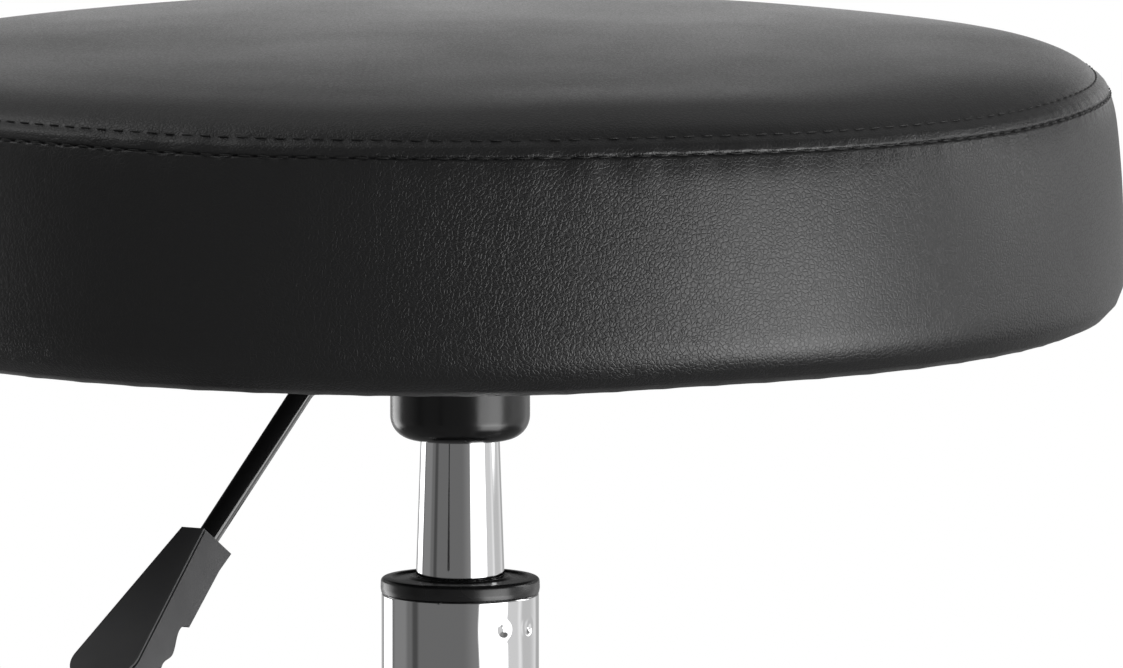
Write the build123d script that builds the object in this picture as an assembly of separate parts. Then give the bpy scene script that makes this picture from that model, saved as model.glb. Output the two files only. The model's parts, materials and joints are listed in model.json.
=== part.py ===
"""Gas-lift drum throne: a round padded seat on a locking gas spring and a five-legged chromed base.

Row frame: +Z up, the origin on the floor under the column, the release lever on the -X side.
All sizes are in millimetres. The throne is modelled at its lowest setting.
"""

import os
from math import cos, radians, sin, tan

from build123d import *

# ---- driving dimensions -------------------------------------------------------------------
LEG_COUNT = 5
LEG_REACH = 240.0  # column axis to the middle of a foot
LEG_START_DEG = 90.0  # direction of the first leg
LIFT_TRAVEL = 120.0
TAPER_DEG = 1.43  # the usual self-locking taper of a gas column, per side

# stand tube and base hub
TUBE_R = 25.0
TUBE_WALL = 1.8
TUBE_LOW = 50.0
TUBE_HIGH = 281.0
TUBE_BORE_R = TUBE_R - TUBE_WALL
TAPER_LENGTH = 62.0
HUB_R = 33.0
HUB_LOW = 56.0
HUB_HIGH = 110.0
CLEARANCE = 0.05  # radial, for every running fit

# guide bush and its crimp dimples
RING_R = 25.3
RING_HEIGHT = 4.7
RING_TOP = TUBE_HIGH + RING_HEIGHT
BUSH_LENGTH = 85.0
DIMPLE_DROP = 9.6  # below the tube's top edge
DIMPLE_R = 5.5
DIMPLE_DEPTH = 1.1
DIMPLE_ANGLES = (-115.4, -88.7, 64.6, 91.3)  # two pairs, half a turn apart

# gas spring
CYLINDER_R = 14.0
CYLINDER_WALL = 1.5
NECK_R = 12.55  # radius of the cone where it enters the socket
CONE_START = RING_TOP + 3.0
EXPOSED = 44.4  # cylinder that shows between the ring and the socket
ROD_R = 5.0
SPIGOT_R = 4.0
BALL_R = 2.0
BALL_COUNT = 12
BALL_CIRCLE_R = 10.0
RACE_R = 14.0
RACE_THICK = 2.0
PISTON_BORE_R = 10.6  # inside of the pressure tube
PRESSURE_TUBE_WALL = 0.8
VALVE_R = 9.6
VALVE_STEM_R = 2.5
BUTTON_R = 4.0

# socket, seat plate and seat
SOCKET_R = 22.2
SOCKET_HEIGHT = 37.9
SOCKET_WALL = 2.5
SOCKET_ROUND = 7.5
SOCKET_FLOOR = 4.0
PLATE_THICK = 2.5
PLATE_SIDE = 150.0
PLATE_RIM = 6.0
SCREW_SPACING = 114.0
SCREW_R = 3.0
TEE_NUT_R = 4.2
TEE_FLANGE_R = 9.5
TEE_FLANGE_THICK = 1.4
DUST_R = 186.0
STAPLE_COUNT = 36
STAPLE_CIRCLE_R = 178.0
UNDERSIDE = RING_TOP + EXPOSED + SOCKET_HEIGHT
SEAT_R = 210.0
SEAM_R = 206.8
SEAT_EDGE_ROUND = 14.0
BAND_HEIGHT = 73.7
CROWN = 17.8
SHOULDER_R = 150.0  # where the nearly flat crown turns down towards the seam
SHOULDER_DROP = 1.56
CROWN_SPHERE_R = (SHOULDER_R**2 + SHOULDER_DROP**2) / (2 * SHOULDER_DROP)
SIDE_SWELL = 0.5
COVER_THICK = 1.2
DUST_THICK = 0.6
BOARD_R = 198.0
BOARD_THICK = 12.0
TURN_IN_R = 160.0  # how far in the vinyl is folded under the board
SEAM = UNDERSIDE + BAND_HEIGHT

# release lever
LEVER_ROD_R = 3.5
LEVER_DROP = 11.0  # its straight end runs this far under the seat
LEVER_SLOPE_DEG = 34.2
LEVER_LINE_X = -98.5  # a point on the sloping run
LEVER_LINE_DROP = 12.7
LEVER_BEND_R = 12.0
PIVOT_X = -30.0
PIVOT_PIN_R = 1.5
HANDLE_START_X = -153.0
HANDLE_LENGTH = 84.0
HANDLE_NECK = 8.0
HANDLE_WIDTH = 22.6
GROOVE_DROP = (0.7, 1.5)  # under the thumb pad's face
GROOVE_DEPTH = 0.9
ROD_SHARE = 0.7  # how much of the handle's length the rod fills

# feet
FOOT_PAD_HIGH = 6.0
FOOT_BELL_HIGH = 30.0
FOOT_R = 24.0
STEM_R = 5.5
SLEEVE_R = 9.0

# leg sections: distance from the axis, middle height, width, height
LEG_SECTIONS = ((26.0, 84.0, 34.0, 40.0), (140.0, 72.5, 29.0, 31.0), (254.0, 47.0, 24.0, 23.0))
LEG_WALL = 2.0
LEG_CORNER = 7.0


# ---- helpers ------------------------------------------------------------------------------
def turned(*outline):
    """A solid of revolution about Z from its (radius, height) corners."""
    corners = [(r, 0, z) for r, z in outline]
    return revolve(make_face(Polyline(*corners, close=True)), Axis.Z)


def ring(inner, outer, low, high):
    """A plain ring, or a disc where inner is zero."""
    return turned((inner, low), (outer, low), (outer, high), (inner, high))


def peg(radius, low, high, x=0.0, y=0.0):
    """An upright round bar."""
    return Pos(x, y, (low + high) / 2) * Cylinder(radius, high - low)


def around(shape, count, start=0.0):
    """Copies of a shape at equal turns about the column."""
    return [Rot(0, 0, start + 360 * n / count) * shape for n in range(count)]


def group(shapes):
    """Separate solids kept together as one node."""
    return Compound(children=list(shapes))


# ---- base ---------------------------------------------------------------------------------
def tube_outer_r(z):
    """Outside radius of the stand tube: straight above, self-locking taper at the foot."""
    return TUBE_R - max(0.0, TUBE_LOW + TAPER_LENGTH - z) * tan(radians(TAPER_DEG))


def base_hub():
    """Hub with a tapered bore that grips the stand tube."""
    hub = turned(
        (tube_outer_r(HUB_LOW), HUB_LOW),
        (HUB_R, HUB_LOW),
        (HUB_R, HUB_HIGH),
        (tube_outer_r(HUB_HIGH), HUB_HIGH),
    )
    rims = hub.edges().filter_by(GeomType.CIRCLE).filter_by(lambda e: abs(e.radius - HUB_R) < 0.1)
    return fillet(rims, 2.5)


def leg_section(reach, middle, width, height):
    """Rounded cross-section of a leg at one distance from the column."""
    plane = Plane(origin=(reach, 0, middle), x_dir=(0, 1, 0), z_dir=(1, 0, 0))
    corner = min(LEG_CORNER, 0.45 * min(width, height))
    return plane * RectangleRounded(width, height, corner)


def leg():
    """Hollow chromed leg along +X, butted on the hub, with a hole below for the foot's sleeve."""
    outer = loft([leg_section(*section) for section in LEG_SECTIONS])
    inner = loft(
        [leg_section(r, z, w - 2 * LEG_WALL, h - 2 * LEG_WALL) for r, z, w, h in LEG_SECTIONS]
    )
    hub_space = peg(HUB_R, 0, HUB_HIGH + 20)
    sleeve_hole = peg(SLEEVE_R, FOOT_BELL_HIGH, LEG_SECTIONS[-1][1], x=LEG_REACH)
    return outer - inner - hub_space - sleeve_hole


def leg_plug():
    """Rounded plastic cap on the open end of a leg, with a tongue inside it."""
    reach, middle, width, height = LEG_SECTIONS[-1]
    face = leg_section(reach, middle, width, height)
    cap = extrude(face, 5.0)
    front = cap.faces().sort_by(Axis.X)[-1]
    cap = fillet(front.edges(), 2.5)
    tongue_size = 2 * LEG_WALL + 1.6
    tongue = extrude(leg_section(reach, middle, width - tongue_size, height - tongue_size), -3.0)
    return cap + tongue


def foot_sleeve():
    """Steel sleeve welded into the leg that takes the foot's stem."""
    top = LEG_SECTIONS[-1][1]
    return peg(SLEEVE_R, FOOT_BELL_HIGH + 1, top, x=LEG_REACH) - peg(
        STEM_R, FOOT_BELL_HIGH, top - 3, x=LEG_REACH
    )


def foot_stem():
    """Steel stem of a foot, with the shoulder that carries the leg."""
    stem = peg(STEM_R, 12, LEG_SECTIONS[-1][1] - 3.5, x=LEG_REACH)
    shoulder = peg(SLEEVE_R, FOOT_BELL_HIGH - 1, FOOT_BELL_HIGH + 1, x=LEG_REACH)
    return stem + shoulder


def foot_bell():
    """Bell-shaped plastic body of a foot."""
    outline = (
        (STEM_R, 12),
        (STEM_R, FOOT_BELL_HIGH - 1),
        (11.0, FOOT_BELL_HIGH - 1),
        (13.0, 23.0),
        (20.0, 16.5),
        (FOOT_R, 11.0),
        (FOOT_R, FOOT_PAD_HIGH),
        (FOOT_R - 3, FOOT_PAD_HIGH),
        (FOOT_R - 3, 12),
    )
    bell = turned(*outline)
    rims = bell.edges().filter_by(GeomType.CIRCLE).filter_by(lambda e: 10 < e.radius < 20.5)
    return Pos(LEG_REACH, 0, 0) * fillet([e for e in rims if e.center().Z > 14], 1.2)


def foot_pad():
    """Rubber sole of a foot, held inside the bell."""
    sole = ring(0, FOOT_R - 1, 0, FOOT_PAD_HIGH)
    sole = fillet(sole.edges().sort_by(Axis.Z)[0], 1.5)
    plug = ring(0, FOOT_R - 3, FOOT_PAD_HIGH, 12)
    return Pos(LEG_REACH, 0, 0) * (sole + plug)


# ---- stand tube and guide -----------------------------------------------------------------
def dimple_spheres(depth_from_r):
    """Round punch marks on a circle of the given surface radius, in two pairs."""
    centre_r = depth_from_r + DIMPLE_R - DIMPLE_DEPTH
    height = TUBE_HIGH - DIMPLE_DROP
    return [
        Pos(centre_r * cos(radians(a)), centre_r * sin(radians(a)), height) * Sphere(DIMPLE_R)
        for a in DIMPLE_ANGLES
    ]


def stand_tube():
    """Chromed outer tube of the column, tapered at its foot and dimpled to hold the guide bush."""
    knee = TUBE_LOW + TAPER_LENGTH
    foot_r = tube_outer_r(TUBE_LOW)
    tube = turned(
        (foot_r - TUBE_WALL, TUBE_LOW),
        (foot_r, TUBE_LOW),
        (TUBE_R, knee),
        (TUBE_R, TUBE_HIGH),
        (TUBE_BORE_R, TUBE_HIGH),
        (TUBE_BORE_R, knee),
    )
    inside = ring(0, TUBE_BORE_R + 0.1, TUBE_HIGH - 2 * DIMPLE_DROP, TUBE_HIGH)
    for punch in dimple_spheres(TUBE_BORE_R):
        tube += punch & inside
    for punch in dimple_spheres(TUBE_R):
        tube -= punch
    return tube


def guide_bush():
    """Plastic bush that guides the gas cylinder; its ring caps the stand tube."""
    bore_r = CYLINDER_R + CLEARANCE
    low = TUBE_HIGH - BUSH_LENGTH
    groove_z = TUBE_HIGH - DIMPLE_DROP
    sleeve_r = TUBE_BORE_R - CLEARANCE
    groove_r = TUBE_BORE_R - DIMPLE_DEPTH - 0.3
    bush = turned(
        (bore_r, low),
        (sleeve_r, low),
        (sleeve_r, groove_z - 4),
        (groove_r, groove_z - 4),
        (groove_r, groove_z + 4),
        (sleeve_r, groove_z + 4),
        (sleeve_r, TUBE_HIGH),
        (RING_R, TUBE_HIGH),
        (RING_R, RING_TOP - 1.8),
        (RING_R - 1.8, RING_TOP - 0.4),
        (bore_r + 2.0, RING_TOP + 0.6),
        (bore_r, RING_TOP - 0.6),
    )
    return bush


def tube_end_plate():
    """Steel plate crimped into the foot of the stand tube; the piston rod hangs through it."""
    r = tube_outer_r(TUBE_LOW) - TUBE_WALL
    return ring(SPIGOT_R + 0.2, r, TUBE_LOW, RACE_LOW)


# ---- thrust bearing and piston rod ----------------------------------------------------------
RACE_LOW = TUBE_LOW + 3
BALL_Z = RACE_LOW + RACE_THICK + BALL_R + CLEARANCE
RACE_HIGH = BALL_Z + BALL_R + CLEARANCE
CLIP_LOW = TUBE_LOW - 3.0
ROD_SHOULDER = RACE_HIGH + RACE_THICK
BUMPER_TOP = ROD_SHOULDER + 15.0
CYLINDER_LOW = BUMPER_TOP + 0.3
CYLINDER_TOP = UNDERSIDE - 20.0
SEAL_TOP = CYLINDER_LOW + 18.0
PISTON_LOW = SEAL_TOP + LIFT_TRAVEL + 1.0


def race(low):
    """Flat hardened washer of the thrust bearing."""
    return ring(SPIGOT_R + CLEARANCE, RACE_R, low, low + RACE_THICK)


def ball_cage():
    """Plastic cage that spaces the bearing balls."""
    half = 0.9
    cage = ring(6.0, RACE_R, BALL_Z - half, BALL_Z + half)
    pocket = Pos(BALL_CIRCLE_R, 0, BALL_Z) * Sphere(BALL_R + CLEARANCE)
    for hole in around(pocket, BALL_COUNT):
        cage -= hole
    return cage


def bearing_balls():
    """The steel balls of the thrust bearing."""
    ball = Pos(BALL_CIRCLE_R, 0, BALL_Z) * Sphere(BALL_R)
    return group(around(ball, BALL_COUNT))


def piston_rod():
    """Rod that stays at one height; its thin end hangs in the end plate, its head holds the piston."""
    return turned(
        (0, CLIP_LOW - 3),
        (SPIGOT_R, CLIP_LOW - 3),
        (SPIGOT_R, CLIP_LOW),
        (SPIGOT_R - 1, CLIP_LOW),
        (SPIGOT_R - 1, CLIP_LOW + 1),
        (SPIGOT_R, CLIP_LOW + 1),
        (SPIGOT_R, ROD_SHOULDER),
        (ROD_R, ROD_SHOULDER),
        (ROD_R, PISTON_LOW),
        (SPIGOT_R, PISTON_LOW),
        (SPIGOT_R, PISTON_LOW + 16),
        (0, PISTON_LOW + 16),
    )


def rod_washer():
    """Washer between the end plate and the retaining clip."""
    return ring(SPIGOT_R + CLEARANCE, 10.0, CLIP_LOW + 1.0, TUBE_LOW - 0.3)


def rod_clip():
    """Open retaining clip in the groove at the rod's foot."""
    clip = ring(SPIGOT_R - 1, 8.0, CLIP_LOW + 0.05, CLIP_LOW + 0.95)
    return clip - Pos(6, 0, CLIP_LOW) * Box(12, 4, 4)


def rod_bumper():
    """Rubber buffer that the cylinder lands on at the bottom of its travel."""
    body = ring(ROD_R, 12.5, ROD_SHOULDER, BUMPER_TOP)
    rims = body.edges().filter_by(GeomType.CIRCLE).filter_by(lambda e: e.radius > 12)
    return fillet(rims.sort_by(Axis.Z)[-1], 3.0)


def piston():
    """Piston on the head of the rod, grooved for its seal."""
    r = PISTON_BORE_R - 2 * CLEARANCE
    return turned(
        (SPIGOT_R, PISTON_LOW),
        (r, PISTON_LOW),
        (r, PISTON_LOW + 4),
        (r - 1.5, PISTON_LOW + 4),
        (r - 1.5, PISTON_LOW + 7),
        (r, PISTON_LOW + 7),
        (r, PISTON_LOW + 12),
        (SPIGOT_R, PISTON_LOW + 12),
    )


def piston_seal():
    """Square ring in the piston's groove."""
    r = PISTON_BORE_R - CLEARANCE
    return ring(r - 1.45, r, PISTON_LOW + 4, PISTON_LOW + 7)


def piston_nut():
    """Nut that clamps the piston to the rod."""
    low = PISTON_LOW + 12
    nut = Pos(0, 0, low) * extrude(RegularPolygon(7.5, 6), 4)
    return nut - peg(SPIGOT_R, low, low + 4)


# ---- gas cylinder ---------------------------------------------------------------------------
CONE_SLOPE = (CYLINDER_R - NECK_R) / (RING_TOP + EXPOSED - CONE_START)


def cone_r(z):
    """Outside radius of the cylinder's cone at a height."""
    return CYLINDER_R - max(0.0, z - CONE_START) * CONE_SLOPE


VALVE_LOW = CYLINDER_TOP - 36.0
BUTTON_TOP = UNDERSIDE - LEVER_DROP - LEVER_ROD_R - 0.3
BUTTON_SKIRT = CYLINDER_TOP - 8.0


def gas_cylinder():
    """Chromed cylinder: straight where it runs in the bush, tapered where it wedges in the socket."""
    inner = CYLINDER_R - CYLINDER_WALL
    return turned(
        (inner, CYLINDER_LOW),
        (CYLINDER_R, CYLINDER_LOW),
        (CYLINDER_R, CONE_START),
        (cone_r(CYLINDER_TOP - 1), CYLINDER_TOP - 1),
        (cone_r(CYLINDER_TOP) - 1, CYLINDER_TOP),
        (BUTTON_R + 0.1, CYLINDER_TOP),
        (BUTTON_R + 0.1, CYLINDER_TOP - 2),
        (VALVE_R, CYLINDER_TOP - 2),
        (VALVE_R, VALVE_LOW),
        (inner, VALVE_LOW - 12),
    )


def valve_body():
    """Release valve at the top of the cylinder."""
    return turned(
        (VALVE_STEM_R + CLEARANCE, VALVE_LOW),
        (VALVE_R, VALVE_LOW),
        (VALVE_R, CYLINDER_TOP - 2),
        (BUTTON_R + 0.5, CYLINDER_TOP - 2),
        (BUTTON_R + 0.5, BUTTON_SKIRT - 5.5),
        (VALVE_STEM_R + CLEARANCE, BUTTON_SKIRT - 5.5),
    )


def release_button():
    """Domed pin that opens the valve when the lever presses it."""
    return turned(
        (0, VALVE_LOW + 6),
        (VALVE_STEM_R, VALVE_LOW + 6),
        (VALVE_STEM_R, BUTTON_SKIRT),
        (BUTTON_R, BUTTON_SKIRT),
        (BUTTON_R, BUTTON_TOP - 1.2),
        (2.4, BUTTON_TOP - 0.3),
        (0, BUTTON_TOP),
    )


def pressure_tube():
    """Inner tube that the piston runs in."""
    return ring(PISTON_BORE_R, PISTON_BORE_R + PRESSURE_TUBE_WALL, SEAL_TOP, VALVE_LOW - 13)


def rod_guide():
    """Guide that closes the cylinder's foot around the rod."""
    return ring(ROD_R + CLEARANCE, CYLINDER_R - CYLINDER_WALL, CYLINDER_LOW + 1, SEAL_TOP - 5)


def rod_seal():
    """Rubber seal above the guide."""
    return ring(ROD_R + CLEARANCE, CYLINDER_R - CYLINDER_WALL, SEAL_TOP - 5, SEAL_TOP)


# ---- socket, plate and lever mounting ---------------------------------------------------------
SOCKET_LOW = UNDERSIDE - SOCKET_HEIGHT
PLATE_LOW = UNDERSIDE - PLATE_THICK
LEVER_Z = UNDERSIDE - LEVER_DROP


def socket_housing():
    """Painted steel cup under the seat plate, rounded below, with a slot for the lever."""
    cup = ring(0, SOCKET_R, SOCKET_LOW, PLATE_LOW)
    cup = fillet(cup.edges().filter_by(GeomType.CIRCLE).sort_by(Axis.Z)[0], SOCKET_ROUND)
    floor = SOCKET_LOW + SOCKET_FLOOR
    hollow = ring(0, SOCKET_R - SOCKET_WALL, floor, PLATE_LOW)
    mouth = turned(
        (0, SOCKET_LOW - 1),
        (cone_r(SOCKET_LOW - 1) + 0.3, SOCKET_LOW - 1),
        (cone_r(floor) + 0.3, floor),
        (0, floor),
    )
    slot_height = 17.0
    slot = Pos(-SOCKET_R, 0, PLATE_LOW - slot_height / 2) * Box(14, 9.5, slot_height)
    return cup - hollow - mouth - slot


def taper_sleeve():
    """Tapered sleeve that the cylinder's cone wedges into."""
    low = SOCKET_LOW + SOCKET_FLOOR
    high = CYLINDER_TOP - 2
    r = SOCKET_R - SOCKET_WALL
    return turned((cone_r(low), low), (r, low), (r, high), (cone_r(high), high))


def screw_places():
    """Where the four plate screws go."""
    half = SCREW_SPACING / 2
    return [(x, y) for x in (-half, half) for y in (-half, half)]


def seat_plate():
    """Square pressed plate with a turned-down rim and four screw holes."""
    corner = 22.0
    blank = RectangleRounded(PLATE_SIDE, PLATE_SIDE, corner)
    inner = RectangleRounded(PLATE_SIDE - 5, PLATE_SIDE - 5, corner - 2.5)
    plate = Pos(0, 0, PLATE_LOW) * extrude(blank, PLATE_THICK)
    rim = Pos(0, 0, PLATE_LOW - PLATE_RIM) * extrude(blank - inner, PLATE_RIM)
    plate = plate + rim
    plate = fillet(plate.edges().group_by(Axis.Z)[-1], 2.0)
    lever_gap = Pos(-PLATE_SIDE / 2, 0, PLATE_LOW - PLATE_RIM / 2 - 1) * Box(12, 16, PLATE_RIM + 2)
    for x, y in screw_places():
        plate -= peg(SCREW_R + 0.4, PLATE_LOW - 1, UNDERSIDE + 1, x, y)
    return plate - lever_gap


WASHER_THICK = 1.2
BOARD_LOW = UNDERSIDE + DUST_THICK


def plate_screws():
    """Four pan-head screws with hexagon sockets."""
    made = []
    seat = PLATE_LOW - WASHER_THICK
    for x, y in screw_places():
        head = peg(5.5, seat - 3.6, seat, x, y)
        head = fillet(head.edges().filter_by(GeomType.CIRCLE).sort_by(Axis.Z)[0], 1.4)
        drive = Pos(x, y, seat - 3.6) * extrude(RegularPolygon(2.3, 6), 2.2)
        made.append(head + peg(SCREW_R, seat, BOARD_LOW + BOARD_THICK - 1, x, y) - drive)
    return group(made)


def plate_washers():
    """Washers under the screw heads."""
    low = PLATE_LOW - WASHER_THICK
    return group(
        peg(7.0, low, PLATE_LOW, x, y) - peg(SCREW_R, low, PLATE_LOW, x, y)
        for x, y in screw_places()
    )


def tee_nuts():
    """Flanged nuts pressed into the top of the board."""
    top = BOARD_LOW + BOARD_THICK
    made = []
    for x, y in screw_places():
        nut = peg(TEE_NUT_R, top - 9, top, x, y) + peg(TEE_FLANGE_R, top - TEE_FLANGE_THICK, top, x, y)
        made.append(nut - peg(SCREW_R, top - 10, top + 1, x, y))
    return group(made)


def lever_bracket():
    """Two ears welded under the plate that carry the lever's pivot pin."""
    ear_gap = LEVER_ROD_R + 0.5
    ear_thick = 2.0
    low = LEVER_Z - 5.0
    length = 10.0
    ears = []
    for side in (-1, 1):
        y = side * (ear_gap + ear_thick / 2)
        ear = Pos(PIVOT_X, y, (low + PLATE_LOW) / 2) * Box(length, ear_thick, PLATE_LOW - low)
        ear = fillet(ear.edges().filter_by(Axis.Y).group_by(Axis.Z)[0], 3.0)
        ears.append(ear - pivot_bar(PIVOT_PIN_R, 2 * (ear_gap + ear_thick) + 2))
    return group(ears)


def pivot_bar(radius, length):
    """A round bar across the lever on its pivot line."""
    return Pos(PIVOT_X, 0, LEVER_Z) * Rot(90, 0, 0) * Cylinder(radius, length)


def lever_pivot_pin():
    """Headed steel pin that the lever rocks on."""
    reach = LEVER_ROD_R + 0.5 + 2.0
    head = Pos(PIVOT_X, reach + 0.6, LEVER_Z) * Rot(90, 0, 0) * Cylinder(2.6, 1.2)
    return pivot_bar(PIVOT_PIN_R, 2 * reach + 1.2) + head


# ---- lever ----------------------------------------------------------------------------------
SLOPE = radians(LEVER_SLOPE_DEG)


def slope_point(x):
    """The point of the lever's sloping centre line at x."""
    drop = LEVER_LINE_DROP + (LEVER_LINE_X - x) * tan(SLOPE)
    return (x, 0, UNDERSIDE - drop)


def lever_rod():
    """Round bar: level over the release button, then bent down towards the hand."""
    knee_x = LEVER_LINE_X + (LEVER_LINE_DROP - LEVER_DROP) / tan(SLOPE)
    end_x = HANDLE_START_X - ROD_SHARE * HANDLE_LENGTH * cos(SLOPE)
    start = (7.0, 0, LEVER_Z)
    route = FilletPolyline(start, (knee_x, 0, LEVER_Z), slope_point(end_x), radius=LEVER_BEND_R)
    section = Plane(origin=start, z_dir=(-1, 0, 0)) * Circle(LEVER_ROD_R)
    rod = sweep(section, path=route)
    return rod - pivot_bar(PIVOT_PIN_R + CLEARANCE, 4 * LEVER_ROD_R)


def handle_plane():
    """Frame of the handle: x along the rod towards its tip, y across, z away from the palm side."""
    return Plane(
        origin=slope_point(HANDLE_START_X),
        x_dir=(-cos(SLOPE), 0, -sin(SLOPE)),
        z_dir=(-sin(SLOPE), 0, cos(SLOPE)),
    )


def handle_plan(inset):
    """Upright block under the handle's outline: a narrow neck that widens to a round end."""
    neck, wide = HANDLE_NECK / 2 - inset, HANDLE_WIDTH / 2 - inset
    tip, bend = HANDLE_LENGTH - inset, HANDLE_LENGTH - 12.0
    outline = (
        Polyline((bend, -wide), (10.0, -neck), (-10.0, -neck), (-10.0, neck), (10.0, neck), (bend, wide))
        + ThreePointArc((bend, wide), (tip, 0), (bend, -wide))
    )
    return extrude(make_face(outline), 25.0, both=True)


def handle_slab(profile):
    """Block across the handle from a side outline in its length and height."""
    return extrude(make_face(Plane.XZ * profile), HANDLE_WIDTH, both=True)


def lever_handle():
    """Moulded paddle: a thumb pad set off by a groove, over a body with finger waves."""
    tip = HANDLE_LENGTH
    foot, crest, end_top, end_low = (1.4, -9.0), (9.6, 8.5), (tip, 10.0), (tip, 3.5)
    waves = ((38.0, -7.4), (46.0, -3.8), (52.5, -5.8), (60.0, -3.4), (66.5, -5.4), (74.0, -1.4))
    side = Polyline(waves[0], foot, crest, end_top, end_low) + Spline(end_low, *reversed(waves))
    high, low = (Polyline(*((x, z - drop) for x, z in (crest, end_top))) for drop in GROOVE_DROP)
    line = Polyline(high @ 0, high @ 1, low @ 1, low @ 0, close=True)
    groove = handle_slab(line) - handle_plan(GROOVE_DEPTH)
    rod_length = ROD_SHARE * tip
    bore = Pos(rod_length / 2, 0, 0) * Rot(0, 90, 0) * Cylinder(LEVER_ROD_R, rod_length)
    body = handle_slab(side) & handle_plan(0)
    return handle_plane() * (body - groove - bore)


# ---- seat -----------------------------------------------------------------------------------
def seat_form(inset):
    """The padded seat as one solid of revolution, taken in by inset all over."""
    low = UNDERSIDE + DUST_THICK + inset
    round_r = SEAT_EDGE_ROUND - inset
    side_r = SEAT_R - inset
    diagonal = round_r * (1 - cos(radians(45)))
    seam_r = SEAM_R - inset
    top = SEAM + CROWN - inset
    shoulder = (SHOULDER_R, 0, top - SHOULDER_DROP)
    crown_mid_drop = CROWN_SPHERE_R - (CROWN_SPHERE_R**2 - (SHOULDER_R / 2) ** 2) ** 0.5
    under_edge = (side_r - round_r, 0, low)
    side_foot = (side_r, 0, low + round_r)
    at_seam = (seam_r, 0, SEAM)
    outline = (
        Line((0, 0, low), under_edge)
        + ThreePointArc(under_edge, (side_r - diagonal, 0, low + diagonal), side_foot)
        + ThreePointArc(side_foot, (side_r + SIDE_SWELL, 0, UNDERSIDE + BAND_HEIGHT / 2), at_seam)
        + TangentArc(shoulder, at_seam, tangent=(CROWN_SPHERE_R - SHOULDER_DROP, 0, -SHOULDER_R))
        + ThreePointArc(shoulder, (SHOULDER_R / 2, 0, top - crown_mid_drop), (0, 0, top))
        + Line((0, 0, top), (0, 0, low))
    )
    return revolve(make_face(outline), Axis.Z)


def seat_skin():
    """The whole vinyl cover before it is parted at the seam."""
    under_opening = ring(0, TURN_IN_R, UNDERSIDE, UNDERSIDE + 10)
    return seat_form(0) - seat_form(COVER_THICK) - under_opening


def above_seam():
    """Everything over the seam line."""
    return Pos(0, 0, SEAM + 100) * Box(600, 600, 200)


def cover_top():
    """Round vinyl top panel."""
    return seat_skin() & above_seam()


def cover_band():
    """Vinyl side band, sewn to the top panel and folded under the board."""
    return seat_skin() - above_seam()


def seat_board():
    """Plywood disc with a shallow rebate for the folded vinyl and holes for the tee nuts."""
    top = BOARD_LOW + BOARD_THICK
    rebate = BOARD_LOW + COVER_THICK
    board = turned(
        (0, BOARD_LOW),
        (TURN_IN_R, BOARD_LOW),
        (TURN_IN_R, rebate),
        (BOARD_R - 3.5, rebate),
        (BOARD_R, rebate + 3.0),
        (BOARD_R, top),
        (0, top),
    )
    for x, y in screw_places():
        board -= peg(TEE_NUT_R, BOARD_LOW - 1, top + 1, x, y)
        board -= peg(TEE_FLANGE_R, top - TEE_FLANGE_THICK, top + 1, x, y)
    return board


def seat_foam():
    """Moulded foam that fills the cover and wraps the board's edge."""
    foam = seat_form(COVER_THICK)
    space = ring(0, BOARD_R, UNDERSIDE, BOARD_LOW + BOARD_THICK)
    return foam - space


def dust_cover():
    """Black cloth sheet under the board."""
    sheet = ring(0, DUST_R, UNDERSIDE, BOARD_LOW)
    for x, y in screw_places():
        sheet -= peg(SCREW_R + 0.4, UNDERSIDE - 1, BOARD_LOW + 1, x, y)
    return sheet


def cover_staples():
    """Staples that hold the dust cover and the folded vinyl to the board."""
    crown = Pos(STAPLE_CIRCLE_R, 0, UNDERSIDE - 0.3) * Box(1.2, 9.0, 0.6)
    return group(around(crown, STAPLE_COUNT, start=5))


# ---- the nodes --------------------------------------------------------------------------------
def all_nodes():
    """Every node of the throne by name."""
    nodes = {
        "seat_cover_top": cover_top(),
        "seat_cover_band": cover_band(),
        "seat_foam": seat_foam(),
        "seat_board": seat_board(),
        "seat_dust_cover": dust_cover(),
        "seat_staples": cover_staples(),
        "seat_tee_nuts": tee_nuts(),
        "seat_plate": seat_plate(),
        "plate_screws": plate_screws(),
        "plate_washers": plate_washers(),
        "socket_housing": socket_housing(),
        "taper_sleeve": taper_sleeve(),
        "lever_bracket": lever_bracket(),
        "lever_pivot_pin": lever_pivot_pin(),
        "lever_rod": lever_rod(),
        "lever_handle": lever_handle(),
        "gas_cylinder": gas_cylinder(),
        "valve_body": valve_body(),
        "release_button": release_button(),
        "pressure_tube": pressure_tube(),
        "rod_guide": rod_guide(),
        "rod_seal": rod_seal(),
        "piston_rod": piston_rod(),
        "piston": piston(),
        "piston_seal": piston_seal(),
        "piston_nut": piston_nut(),
        "rod_bumper": rod_bumper(),
        "bearing_race_upper": race(RACE_HIGH),
        "bearing_race_lower": race(RACE_LOW),
        "ball_cage": ball_cage(),
        "bearing_balls": bearing_balls(),
        "rod_washer": rod_washer(),
        "rod_clip": rod_clip(),
        "tube_end_plate": tube_end_plate(),
        "stand_tube": stand_tube(),
        "guide_bush": guide_bush(),
        "base_hub": base_hub(),
        "foot_sleeves": group(around(foot_sleeve(), LEG_COUNT, LEG_START_DEG)),
        "foot_stems": group(around(foot_stem(), LEG_COUNT, LEG_START_DEG)),
        "leg_plugs": group(around(leg_plug(), LEG_COUNT, LEG_START_DEG)),
    }
    repeated = {"leg": leg(), "foot_bell": foot_bell(), "foot_pad": foot_pad()}
    for name, shape in repeated.items():
        for number, placed in enumerate(around(shape, LEG_COUNT, LEG_START_DEG), start=1):
            nodes[f"{name}_{number}"] = placed
    return nodes


def main():
    """Write one STEP file for each node."""
    os.makedirs("parts", exist_ok=True)
    for name, shape in all_nodes().items():
        export_step(shape, f"parts/{name}.step")


main()
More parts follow.
